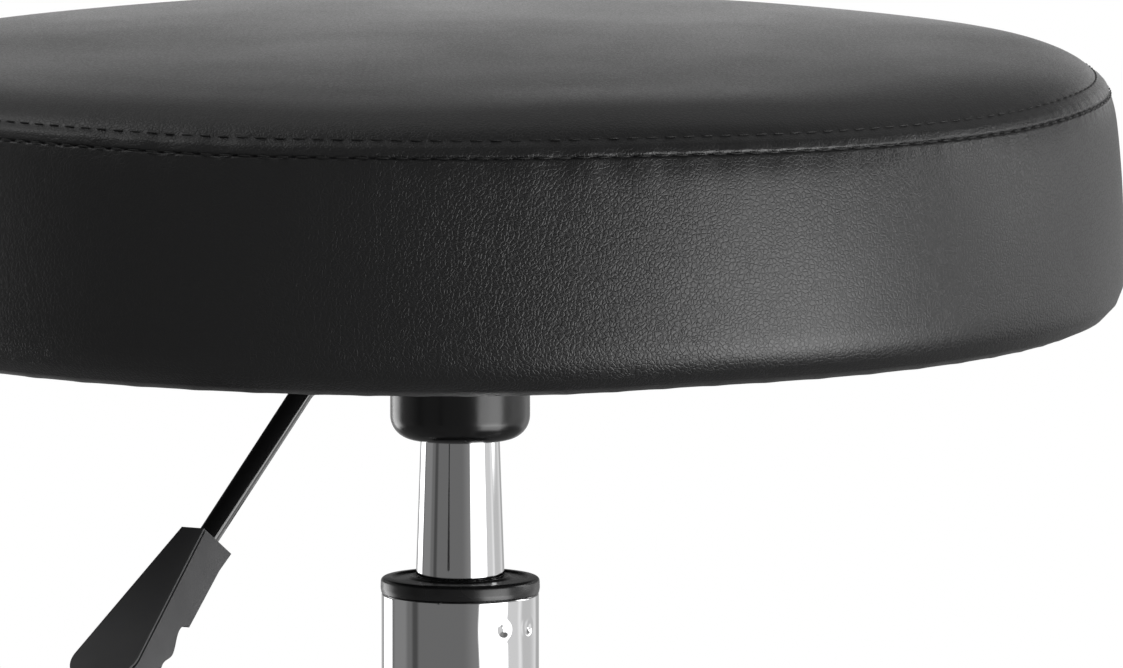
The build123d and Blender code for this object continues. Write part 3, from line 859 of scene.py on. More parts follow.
@dataclass
class Seat:
    """Padded round seat: crown and side band sewn together over foam and a plywood board."""

    steps: int = 1248
    seam_radius: float = 206.8
    side_radius: float = 210.5
    crown: float = 17.3
    crown_slope: float = 5.0
    crown_power: float = 17.0
    crown_round: float = 1.1
    calm_radius: float = 90.0
    sag: float = 1.6
    sag_at: float = radians(185)
    sag_width: float = radians(41)
    side_taper: float = 2.3
    edge_round: float = 14.0
    folded_to: float = 160.0
    vinyl: float = 1.2
    hidden_radius: float = 188.0
    voxel: float = 6.0
    swell_cap: float = 4.0
    harmonics: int = 9
    seam: Seam = field(default_factory=Seam)

    def build(self) -> None:
        """Make both panels and the threads."""
        self.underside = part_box("seat_cover_band")[0].z / MM
        self.seam_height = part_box("seat_cover_top")[0].z / MM
        board_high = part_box("seat_board")[1]
        self.board_radius, self.board_top = board_high.x / MM, board_high.z / MM
        self.top_panel = self.crown_line()
        self.band_panel = self.band_line()
        swell = self.settle()
        top = self.panel_piece("seat_top_panel", self.top_panel, self.crown_closing(), swell, True)
        band = self.panel_piece("seat_side_band", self.band_panel, self.band_closing(), swell, False)
        place(top, Body.SEAT, Slot.SEAT_VINYL, "seat_cover_top", "seat_foam")
        place(band, Body.SEAT, Slot.SEAT_VINYL, "seat_cover_band")
        for row in (0, 1):
            place(self.thread_row(row, swell), Body.SEAT, Slot.SEAT_VINYL)

    def crown_line(self) -> Panel:
        """The top panel's line, from the seam up and in to the middle.

        Returns:
            The panel that follows the line.
        """
        share = np.linspace(0.0, 1.0, 4000) ** 2.5
        radius = self.seam_radius * (1.0 - share)
        reach = radius / self.seam_radius
        pillow = (1.0 - reach**self.crown_power) ** (1 / self.crown_round)
        lift = self.crown_slope * (1.0 - reach**2) + (self.crown - self.crown_slope) * pillow
        return Panel(radius, self.seam_height + lift)

    def band_line(self) -> Panel:
        """The side band's line, from the seam down, round the bottom edge and in under the board.

        Returns:
            The panel that follows the line.
        """
        foot = self.underside + self.edge_round
        height = np.linspace(self.seam_height, foot, 600)
        climb = (height - foot) / (self.seam_height - foot)
        radius = self.side_radius - (self.side_radius - self.seam_radius) * climb**self.side_taper
        turn = np.linspace(0.0, pi / 2, 120)[1:]
        round_radius = self.side_radius - self.edge_round * (1 - np.cos(turn))
        round_height = foot - self.edge_round * np.sin(turn)
        flat = np.linspace(round_radius[-1], self.folded_to, 60)[1:]
        return Panel(np.concatenate((radius, round_radius, flat)),
                     np.concatenate((height, round_height, np.full(flat.shape, self.underside))))

    def crown_closing(self) -> list[Point]:
        """Hidden underside of the padded crown, from the middle back to the seam."""
        return [(0.0, self.seam_height), (self.hidden_radius, self.seam_height)]

    def band_closing(self) -> list[Point]:
        """Hidden inside of the padded band, from the folded edge back to the seam."""
        ledge = self.underside + self.vinyl
        return [
            (self.folded_to, ledge),
            (self.board_radius - 3.5, ledge),
            (self.board_radius + 0.2, ledge + 3.2),
            (self.board_radius + 0.2, self.board_top + 0.2),
            (self.hidden_radius, self.board_top + 0.2),
            (self.hidden_radius, self.seam_height - 0.05),
        ]

    def settle(self) -> dict[bool, np.ndarray]:
        """Let the covered foam push its cover out between the seam and the board.

        A coarse copy of the seat is puffed as cloth, and its outward movement is kept as waves round
        the seat at evenly spaced distances from the seam.

        Returns:
            For the top panel (True) and the band (False), a row of wave coefficients per distance.
        """
        spots = {top: np.linspace(0.0, panel.along[-1], 30) for top, panel in self.panels()}
        still = {top: np.zeros((30, self.harmonics), complex) for top in spots}
        form = self.coarse_form()
        before = coordinates(form.data) / MM
        after = self.puff(form) / MM
        bpy.data.objects.remove(form)
        moved = after - before
        reach = np.linalg.norm(moved, axis=1, keepdims=True)
        moved *= np.minimum(1.0, self.swell_cap / np.maximum(reach, 1e-6))
        log.info("cloth moved the cover by up to %.1f mm", float(reach.max()))
        turn, level = polar(before)
        for top, panel in self.panels():
            here = before[:, 2] > self.seam_height if top else before[:, 2] <= self.seam_height
            nearest = self.nearest_along(panel, level[here], before[here, 2])
            face = panel.facing(nearest)
            out = moved[here]
            outward = out[:, 0] * np.cos(turn[here]) + out[:, 1] * np.sin(turn[here])
            push = face[0] * outward + face[1] * out[:, 2]
            for row, spot in enumerate(spots[top]):
                weight = np.exp(-(((nearest - spot) / 9.0) ** 2))
                for wave in range(self.harmonics):
                    part = push * weight * np.exp(-1j * wave * turn[here])
                    still[top][row, wave] = part.sum() / max(weight.sum(), 1e-6) * (1 if wave == 0 else 2)
        return still

    def panels(self) -> tuple[tuple[bool, Panel], tuple[bool, Panel]]:
        """Both panels, each with whether it is the top one."""
        return (True, self.top_panel), (False, self.band_panel)

    def nearest_along(self, panel: Panel, level: np.ndarray, height: np.ndarray) -> np.ndarray:
        """Distance from the seam of the panel's point nearest to each given point.

        Args:
            panel: the panel to search.
            level: distances from the Z axis, in millimetres.
            height: heights, in millimetres.

        Returns:
            One distance for each point.
        """
        line = np.linspace(0.0, panel.along[-1], 240)
        radius, rise = panel.at(line)
        gap = (level[:, None] - radius[None, :]) ** 2 + (height[:, None] - rise[None, :]) ** 2
        return line[np.argmin(gap, axis=1)]

    def coarse_form(self) -> bpy.types.Object:
        """A coarse closed copy of the seat with uneven stuffing, remeshed evenly.

        Returns:
            The coarse copy.
        """
        bm = bmesh.new()
        top = list(zip(*self.top_panel.at(np.linspace(0, self.top_panel.along[-1], 40))))
        side = list(zip(*self.band_panel.at(np.linspace(0, self.band_panel.along[-1], 30))))
        line = [(r * MM, z * MM) for r, z in top[::-1] + side[1:]] + [(0.0, self.underside * MM)]
        lathe(bm, line, 120, closed=False)
        form = finish_mesh(bm, "seat_form", VINYL)
        points = coordinates(form.data)
        turn = polar(points)[0]
        uneven = 1.0 + 0.0022 * np.cos(3 * turn + 0.6) + 0.0016 * np.cos(5 * turn + 2.0)
        points[:, :2] *= uneven[:, None]
        move_to(form.data, points)
        remesh = form.modifiers.new("even", "REMESH")
        remesh.mode = "VOXEL"
        remesh.voxel_size = self.voxel * MM
        self.apply(form)
        return form

    def puff(self, form: bpy.types.Object) -> np.ndarray:
        """Run the cloth on the coarse form, held along the seam and under the board.

        Args:
            form: the coarse form.

        Returns:
            Where its vertices end, in metres.
        """
        points = coordinates(form.data) / MM
        level = polar(points)[1]
        at_seam = np.hypot(level - self.seam_radius, points[:, 2] - self.seam_height) < self.voxel
        under = points[:, 2] < self.underside + self.edge_round * 0.6
        group = form.vertex_groups.new(name="held")
        group.add([int(i) for i in np.flatnonzero(at_seam | under)], 1.0, "REPLACE")
        cloth = form.modifiers.new("cloth", "CLOTH")
        cloth.settings.quality = 6
        cloth.settings.mass = 0.4
        cloth.settings.tension_stiffness = 25
        cloth.settings.compression_stiffness = 25
        cloth.settings.bending_stiffness = 2.0
        cloth.settings.use_pressure = True
        cloth.settings.uniform_pressure_force = 4.0
        cloth.settings.vertex_group_mass = "held"
        cloth.settings.effector_weights.gravity = 0.0
        cloth.collision_settings.use_collision = False
        scene = bpy.context.scene
        for frame_number in range(1, 21):
            scene.frame_set(frame_number)
        shape = form.evaluated_get(bpy.context.evaluated_depsgraph_get())
        result = coordinates(shape.data)
        form.modifiers.clear()
        scene.frame_set(1)
        return result

    def apply(self, piece: bpy.types.Object) -> None:
        """Put what the modifiers make into the piece's own mesh.

        Args:
            piece: the object whose modifiers are used up.
        """
        bpy.context.view_layer.update()
        shape = piece.evaluated_get(bpy.context.evaluated_depsgraph_get())
        mesh = bpy.data.meshes.new_from_object(shape)
        piece.modifiers.clear()
        piece.data = mesh

    def offset(self, panel: Panel, top: bool, swell: dict[bool, np.ndarray], turn: np.ndarray,
               along: np.ndarray) -> np.ndarray:
        """How far the cover stands out from its plain line, in millimetres.

        Args:
            panel: the panel.
            top: whether it is the top one.
            swell: the settled cover's waves.
            turn: angles round the seat.
            along: distances from the seam.

        Returns:
            The outward offsets.
        """
        rows = np.linspace(0.0, panel.along[-1], len(swell[top]))
        out = self.seam.relief(turn, along, top)
        from_middle = np.minimum(panel.at(along)[0] / self.calm_radius, 1.0)
        for wave in range(1, self.harmonics):
            real = np.interp(along, rows, swell[top][:, wave].real)
            imaginary = np.interp(along, rows, swell[top][:, wave].imag)
            out += from_middle**wave * (real * np.cos(wave * turn) - imaginary * np.sin(wave * turn))
        return out

    def panel_piece(self, name: str, panel: Panel, closing: list[Point], swell: dict[bool, np.ndarray],
                    top: bool) -> bpy.types.Object:
        """Turn a panel's line into a closed padded piece with its seam relief.

        Args:
            name: the piece's name.
            panel: its outer line.
            closing: its hidden side, in millimetres.
            swell: the settled cover's waves.
            top: whether it is the top panel.

        Returns:
            The piece.
        """
        spots = panel.rings(0.34, 0.08, 9.0)
        radius, height = panel.at(spots)
        bm = bmesh.new()
        shown = [(r * MM, z * MM) for r, z in zip(radius, height)]
        hidden = [(r * MM, z * MM) for r, z in closing]
        lathe(bm, shown + (hidden[1:] if top else hidden), self.steps, closed=not top)
        if top:
            self.close_crown(bm)
        piece = finish_mesh(bm, name, VINYL, 75.0)
        points = coordinates(piece.data) / MM
        turn, level = polar(points)
        turn %= TURN
        along = self.nearest_exact(panel, spots, level, points[:, 2])
        outside = along >= 0
        along = np.maximum(along, 0.0)
        push = np.where(outside, self.offset(panel, top, swell, turn, along), 0.0)
        face = panel.facing(along)
        sway = np.where(outside, self.seam.rise(turn) * np.exp(-((along / 26.0) ** 2)), self.seam.rise(turn))
        sway = np.where(points[:, 2] > self.board_top + 1.0, sway, 0.0)
        pleat = 0.0 if top else self.pleats(turn, level, points[:, 2]) + self.sagged(turn, along)
        level = level + face[0] * push
        points[:, 2] += face[1] * push + sway - pleat
        set_polar(points, turn, level)
        move_to(piece.data, points * MM)
        return piece

    def close_crown(self, bm: bmesh.types.BMesh) -> None:
        """Cap the hidden underside of the crown.

        Args:
            bm: the crown's open mesh.
        """
        rim = [edge for edge in bm.edges if edge.is_boundary]
        bmesh.ops.holes_fill(bm, edges=rim, sides=0)
        bmesh.ops.recalc_face_normals(bm, faces=bm.faces)

    def sagged(self, turn: np.ndarray, along: np.ndarray) -> np.ndarray:
        """How far the padding's bottom edge hangs on one side, in millimetres.

        Args:
            turn: angles round the seat.
            along: distances from the seam, in millimetres.

        Returns:
            The drop at each point.
        """
        edge = self.seam_height - self.underside
        away = (turn - self.sag_at + pi) % TURN - pi
        return self.sag * np.exp(-((away / self.sag_width) ** 8)) * np.exp(-(((along - edge) / 16.0) ** 2))

    def pleats(self, turn: np.ndarray, level: np.ndarray, height: np.ndarray) -> np.ndarray:
        """How far the folded vinyl hangs in small pleats outside the dust cover, in millimetres.

        Args:
            turn: angles round the seat.
            level: distances from the Z axis, in millimetres.
            height: heights, in millimetres.

        Returns:
            The drop at each point.
        """
        outer = self.side_radius - self.edge_round * 0.7
        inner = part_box("seat_dust_cover")[1].x / MM
        share = np.clip((level - inner) / 4.0, 0.0, 1.0) * np.clip((outer - level) / 6.0, 0.0, 1.0)
        under = height < self.underside + 0.3
        fold = 0.5 + 0.5 * np.cos(72 * turn + 2.2 * np.sin(5 * turn))
        return np.where(under, 0.45 * share * fold**3, 0.0)

    def nearest_exact(self, panel: Panel, spots: np.ndarray, level: np.ndarray,
                      height: np.ndarray) -> np.ndarray:
        """Distance from the seam of each ring's vertices, or -1 on the hidden side.

        Args:
            panel: the panel that the rings lie on.
            spots: the rings' distances from the seam.
            level: distances from the Z axis, in millimetres.
            height: heights, in millimetres.

        Returns:
            One distance for each vertex.
        """
        radius, rise = panel.at(spots)
        found = np.full(level.shape, -1.0)
        for spot, r, z in zip(spots, radius, rise):
            found[(np.abs(level - r) < 0.02) & (np.abs(height - z) < 0.02)] = spot
        return found

    def thread_row(self, row: int, swell: dict[bool, np.ndarray]) -> bpy.types.Object:
        """One row of stitches: 0 along the seam and 1 above it.

        Args:
            row: which row.
            swell: the settled cover's waves.

        Returns:
            The piece with all of the row's stitches.
        """
        along = row * self.seam.row_gap
        sink = 0.42 if row else 1.0
        radius, height = (float(x[0]) for x in self.top_panel.at(np.array([along])))
        face = [float(x[0]) for x in self.top_panel.facing(np.array([along]))]
        pitch = TURN * radius / self.seam.stitches
        bm = bmesh.new()
        size = Matrix.Diagonal((0.3 * MM, pitch * 0.33 * MM, 0.3 * MM, 1.0))
        bmesh.ops.create_uvsphere(bm, u_segments=8, v_segments=6, radius=1.0, matrix=size)
        spot = Vector(((radius - sink * face[0]) * MM, 0.0, (height - sink * face[1]) * MM))
        bmesh.ops.translate(bm, verts=bm.verts, vec=spot)
        start = TURN / self.seam.stitches * (0.5 - (0.37 if row else 0.0))
        bmesh.ops.rotate(bm, verts=bm.verts, cent=(0, 0, 0), matrix=Matrix.Rotation(start, 3, "Z"))
        copy_round(bm, self.seam.stitches)
        piece = finish_mesh(bm, f"seam_thread_{row + 1}", THREAD)
        points = coordinates(piece.data) / MM
        turn, level = polar(points)
        turn %= TURN
        rows = np.full(turn.shape, along)
        lift = self.offset(self.top_panel, True, swell, turn, rows) - self.seam.relief(turn, rows, True)
        level = level + lift * face[0]
        set_polar(points, turn, level)
        points[:, 2] += lift * face[1] + self.seam.rise(turn) * exp(-((along / 26.0) ** 2))
        move_to(piece.data, points * MM)
        return piece


# ---- column ---------------------------------------------------------------------------------
@dataclass
class Column:
    """Chromed stand tube with its crimp marks, the black guide ring and the gas cylinder."""

    steps: int = 360
    wall: float = 1.8
    taper_top: float = 112.0
    taper: float = 1.43
    dimple_angles: tuple[float, ...] = (-115.4, -88.7, 64.6, 91.3)
    dimple_drop: float = 9.6
    dimple_radius: float = 3.1
    dimple_depth: float = 0.55
    lip: float = 0.04
    sag: float = 0.26
    sag_reach: float = 7.5

    def build(self) -> None:
        """Make the tube and the cylinder."""
        low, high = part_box("stand_tube")
        self.low, self.high, self.radius = low.z / MM, high.z / MM, high.x / MM
        place(self.stand_tube(), Body.STAND, Slot.BRIGHT_CHROME, "stand_tube")
        place(self.cylinder(), Body.SEAT, Slot.BRIGHT_CHROME, "gas_cylinder")
        place(self.guide_ring(), Body.STAND, Slot.RING_PLASTIC, "guide_bush")

    def stand_tube(self) -> bpy.types.Object:
        """The outer tube, straight above and tapered at its foot, with dents round each crimp mark.

        Returns:
            The finished piece.
        """
        foot = self.radius - (self.taper_top - self.low) * tan(radians(self.taper))
        fine = np.arange(self.high - 26.0, self.high - 0.8, 0.5)
        bm = bmesh.new()
        inner = self.radius - self.wall
        points = [(foot - self.wall, self.low), (foot - 0.6, self.low), (foot, self.low + 0.6),
                  (self.radius, self.taper_top)]
        points += [(self.radius, z) for z in np.arange(self.taper_top + 20, self.high - 28, 20)]
        points += [(self.radius, float(z)) for z in fine]
        points += [(self.radius, self.high - 0.6), (self.radius - 0.6, self.high), (inner, self.high),
                   (inner, self.taper_top)]
        lathe(bm, [(r * MM, z * MM) for r, z in points], self.steps)
        piece = finish_mesh(bm, "stand_tube_chrome", CHROME, 50.0)
        mesh_points = coordinates(piece.data) / MM
        turn, level = polar(mesh_points)
        outer = level > self.radius - 0.1
        push = np.zeros_like(turn)
        for angle in self.dimple_angles:
            across = ((turn - radians(angle) + pi) % TURN - pi) * self.radius
            gap = np.hypot(across, mesh_points[:, 2] - (self.high - self.dimple_drop))
            push -= self.dimple_depth * (0.5 + 0.5 * np.cos(pi * np.minimum(gap / self.dimple_radius, 1.0)))
            push += self.lip * np.exp(-(((gap - self.dimple_radius - 0.3) / 0.55) ** 2))
            push -= self.sag * np.exp(-((gap / self.sag_reach) ** 2))
        set_polar(mesh_points, turn, level + np.where(outer, push, 0.0))
        move_to(piece.data, mesh_points * MM)
        return piece

    def cylinder(self) -> bpy.types.Object:
        """The gas cylinder: straight in the bush, tapered up into the cup.

        Returns:
            The finished piece.
        """
        low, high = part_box("gas_cylinder")
        bottom, top, radius = low.z / MM, high.z / MM, high.x / MM
        ring_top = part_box("guide_bush")[1].z / MM
        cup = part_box("socket_housing")[0].z / MM
        slope = (radius - 12.55) / (cup - ring_top - 2.4)
        cone = radius - slope * (top - ring_top - 2.4)
        bm = bmesh.new()
        lathe(bm, outline((radius - 1.5, bottom), (radius, bottom, 0.4), (radius, ring_top + 2.4, 60.0),
                          (cone, top, 0.8), (4.1, top), (4.1, top - 2.0), (9.6, top - 2.0), (9.6, top - 30.0),
                          (radius - 1.5, top - 40.0)), self.steps)
        return finish_mesh(bm, "gas_cylinder_chrome", CHROME, 50.0)

    def guide_ring(self) -> bpy.types.Object:
        """The black bush: a rounded ring on the tube's top, dished towards the cylinder.

        Returns:
            The finished piece.
        """
        low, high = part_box("guide_bush")
        bottom, top, rim = low.z / MM, high.z / MM, high.x / MM
        bore, sleeve, seat = 14.05, self.radius - self.wall - 0.05, self.high
        bm = bmesh.new()
        lathe(bm, outline((bore, bottom), (sleeve, bottom, 0.5), (sleeve, seat), (rim - 0.25, seat, 0.2),
                          (rim, seat + 1.4, 3.0), (rim - 0.1, top - 0.55, 1.3), (rim - 3.4, top - 0.35, 0.9),
                          (rim - 4.2, top - 1.0, 0.5), (bore + 2.6, top - 0.65, 0.8), (bore + 1.3, top, 0.4),
                          (bore, top - 0.9, 0.3)), self.steps)
        return finish_mesh(bm, "guide_ring", RING_PLASTIC, 45.0)


# ---- lever ----------------------------------------------------------------------------------
@dataclass
class Lever:
    """Release lever: an enamelled rod and a moulded paddle."""

    radius: float = 3.5
    slope: float = radians(34.2)
    bend: float = 12.0

    def build(self) -> None:
        """Make the rod and the paddle."""
        place(self.rod(), Body.LEVER, Slot.BLACK_ENAMEL, "lever_rod")
        paddle = softened("lever_handle", "lever_paddle", HANDLE_PLASTIC, 0.35)
        place(paddle, Body.LEVER, Slot.HANDLE_PLASTIC, "lever_handle")

    def rod(self) -> bpy.types.Object:
        """The round bar: level under the seat, bent once, and straight down into the paddle.

        Returns:
            The finished piece.
        """
        low, high = (corner_at / MM for corner_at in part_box("lever_rod"))
        level = high.z - self.radius
        end = (low.x + self.radius * sin(self.slope), low.z + self.radius * cos(self.slope))
        knee = (end[0] + (level - end[1]) / tan(self.slope), level)
        start = (high.x, level)
        path = [start, *corner(start, knee, end, self.bend, 24), end]
        rings = []
        for index, (x, z) in enumerate(path):
            before, after = path[max(index - 1, 0)], path[min(index + 1, len(path) - 1)]
            ahead = Vector((after[0] - before[0], 0.0, after[1] - before[1])).normalized()
            aside = Vector((0.0, 1.0, 0.0))
            across = ahead.cross(aside)
            middle = Vector((x, 0.0, z))
            turns = [TURN * n / 40 for n in range(40)]
            rings.append([(middle + (aside * cos(t) + across * sin(t)) * self.radius) * MM for t in turns])
        bm = bmesh.new()
        skin(bm, rings)
        return finish_mesh(bm, "lever_bar", ROD_ENAMEL, 50.0)


# ---- base -----------------------------------------------------------------------------------
@dataclass(frozen=True)
class LegSection:
    """A leg's rounded cross-section at one distance from the column, in millimetres."""

    reach: float
    middle: float
    width: float
    height: float

    def ring(self, corner_radius: float = 7.0, steps: int = 8) -> list[Vector]:
        """The section's points, in metres.

        Args:
            corner_radius: rounding of the corners, in millimetres.
            steps: points round each corner.

        Returns:
            The points in order round the section.
        """
        half_y, half_z = self.width / 2, self.height / 2
        centres = ((1, 1, 0.0), (-1, 1, 90.0), (-1, -1, 180.0), (1, -1, 270.0))
        points = []
        for side_y, side_z, start in centres:
            for step in range(steps + 1):
                angle = radians(start + 90.0 * step / steps)
                y = side_y * (half_y - corner_radius) + corner_radius * cos(angle)
                z = side_z * (half_z - corner_radius) + corner_radius * sin(angle)
                points.append(Vector((self.reach, y, self.middle + z)) * MM)
        return points


@dataclass
class Base:
    """Five chromed legs on a hub, with plastic glides."""

    legs: int = 5
    start_deg: float = 90.0
    foot_reach: float = 240.0
    sections: tuple[LegSection, ...] = (
        LegSection(26.0, 84.0, 34.0, 40.0),
        LegSection(140.0, 72.5, 29.0, 31.0),
        LegSection(254.0, 47.0, 24.0, 23.0),
    )

    def build(self) -> None:
        """Make the hub, the legs and the feet."""
        numbers = range(1, self.legs + 1)
        place(self.hub(), Body.STAND, Slot.BRIGHT_CHROME, "base_hub")
        place(self.five_legs(), Body.STAND, Slot.BRIGHT_CHROME, *(f"leg_{n}" for n in numbers))
        place(self.caps(), Body.STAND, Slot.FOOT_PLASTIC, "leg_plugs")
        place(self.bells(), Body.STAND, Slot.FOOT_PLASTIC, *(f"foot_bell_{n}" for n in numbers))
        place(self.soles(), Body.STAND, Slot.SOLE_RUBBER, *(f"foot_pad_{n}" for n in numbers))

    def section_at(self, reach: float) -> LegSection:
        """The leg's section at a distance, on the smooth curve through the given ones.

        Args:
            reach: distance from the Z axis, in millimetres.

        Returns:
            The section there.
        """
        values = [0.0, 0.0, 0.0]
        for own in self.sections:
            share = 1.0
            for other in self.sections:
                if other is not own:
                    share *= (reach - other.reach) / (own.reach - other.reach)
            for index, value in enumerate((own.middle, own.width, own.height)):
                values[index] += share * value
        return LegSection(reach, *values)

    def hub(self) -> bpy.types.Object:
        """The welded hub, rounded at both rims.

        Returns:
            The finished piece.
        """
        low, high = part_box("base_hub")
        bottom, top, rim = low.z / MM, high.z / MM, high.x / MM
        bore_low, bore_high = 23.62, 24.97
        bm = bmesh.new()
        lathe(bm, outline((bore_low, bottom, 0.3), (rim, bottom, 2.5), (rim, top, 2.5),
                          (bore_high, top, 0.3)), 192)
        return finish_mesh(bm, "hub_chrome", CHROME, 50.0)

    def five_legs(self) -> bpy.types.Object:
        """Curved tapering legs.

        Returns:
            The finished piece.
        """
        bm = bmesh.new()
        first, last = self.sections[0].reach, self.sections[-1].reach
        skin(bm, [self.section_at(first + (last - first) * n / 40).ring() for n in range(41)])
        legs_round(bm, self.legs, self.start_deg)
        return finish_mesh(bm, "legs_chrome", CHROME, 50.0)

    def caps(self) -> bpy.types.Object:
        """Rounded plastic caps on the leg ends.

        Returns:
            The finished piece.
        """
        end = self.sections[-1]
        rings = []
        for forward, shrink in ((0.0, 0.0), (2.5, 0.0), (3.4, 0.25), (4.2, 0.8), (4.75, 1.6), (5.0, 2.5)):
            width, height = end.width - 2 * shrink, end.height - 2 * shrink
            shape = LegSection(end.reach + forward, end.middle, width, height)
            rings.append(shape.ring(7.0 - 0.8 * shrink))
        bm = bmesh.new()
        skin(bm, rings)
        legs_round(bm, self.legs, self.start_deg)
        return finish_mesh(bm, "leg_caps", FOOT_PLASTIC, 50.0)

    def footed(self, name: str, finish: Finish, *corners: tuple[float, ...]) -> bpy.types.Object:
        """One turned foot part under each leg.

        Args:
            name: the piece's name.
            finish: its finish.
            *corners: the outline, in millimetres.

        Returns:
            The piece.
        """
        bm = bmesh.new()
        lathe(bm, outline(*corners), 96)
        bmesh.ops.translate(bm, verts=bm.verts, vec=(self.foot_reach * MM, 0.0, 0.0))
        legs_round(bm, self.legs, self.start_deg)
        return finish_mesh(bm, name, finish, 45.0)

    def bells(self) -> bpy.types.Object:
        """Bell-shaped bodies of the glides."""
        return self.footed("foot_bells", FOOT_PLASTIC, (5.5, 12.0), (5.5, 29.0), (11.0, 29.0, 0.9),
                           (13.0, 23.0, 4.0), (20.0, 16.5, 4.0), (24.0, 11.0, 2.0), (24.0, 6.0, 0.5),
                           (21.05, 6.0), (21.05, 12.0))

    def soles(self) -> bpy.types.Object:
        """Rubber soles held in the bells."""
        return self.footed("foot_soles", SOLE_RUBBER, (0.0, 0.0), (23.0, 0.0, 1.5), (23.0, 6.0), (21.0, 6.0),
                           (21.0, 12.0), (0.0, 12.0))


# ---- studio ---------------------------------------------------------------------------------
@dataclass(frozen=True)
class SoftBox:
    """A glowing panel far round the object; angles are in degrees, to the right of the camera."""

    centre: float
    half_width: float
    blur: float
    strength: float
    low: float = -24.0
    high: float = 55.0
    edge: float = 6.0


@dataclass(frozen=True)
class Card:
    """A glowing card that stands behind the object, out of the camera's sight; sizes are in metres."""

    distance: float
    low: float
    high: float
    strength: float
    half_width: float = 0.45


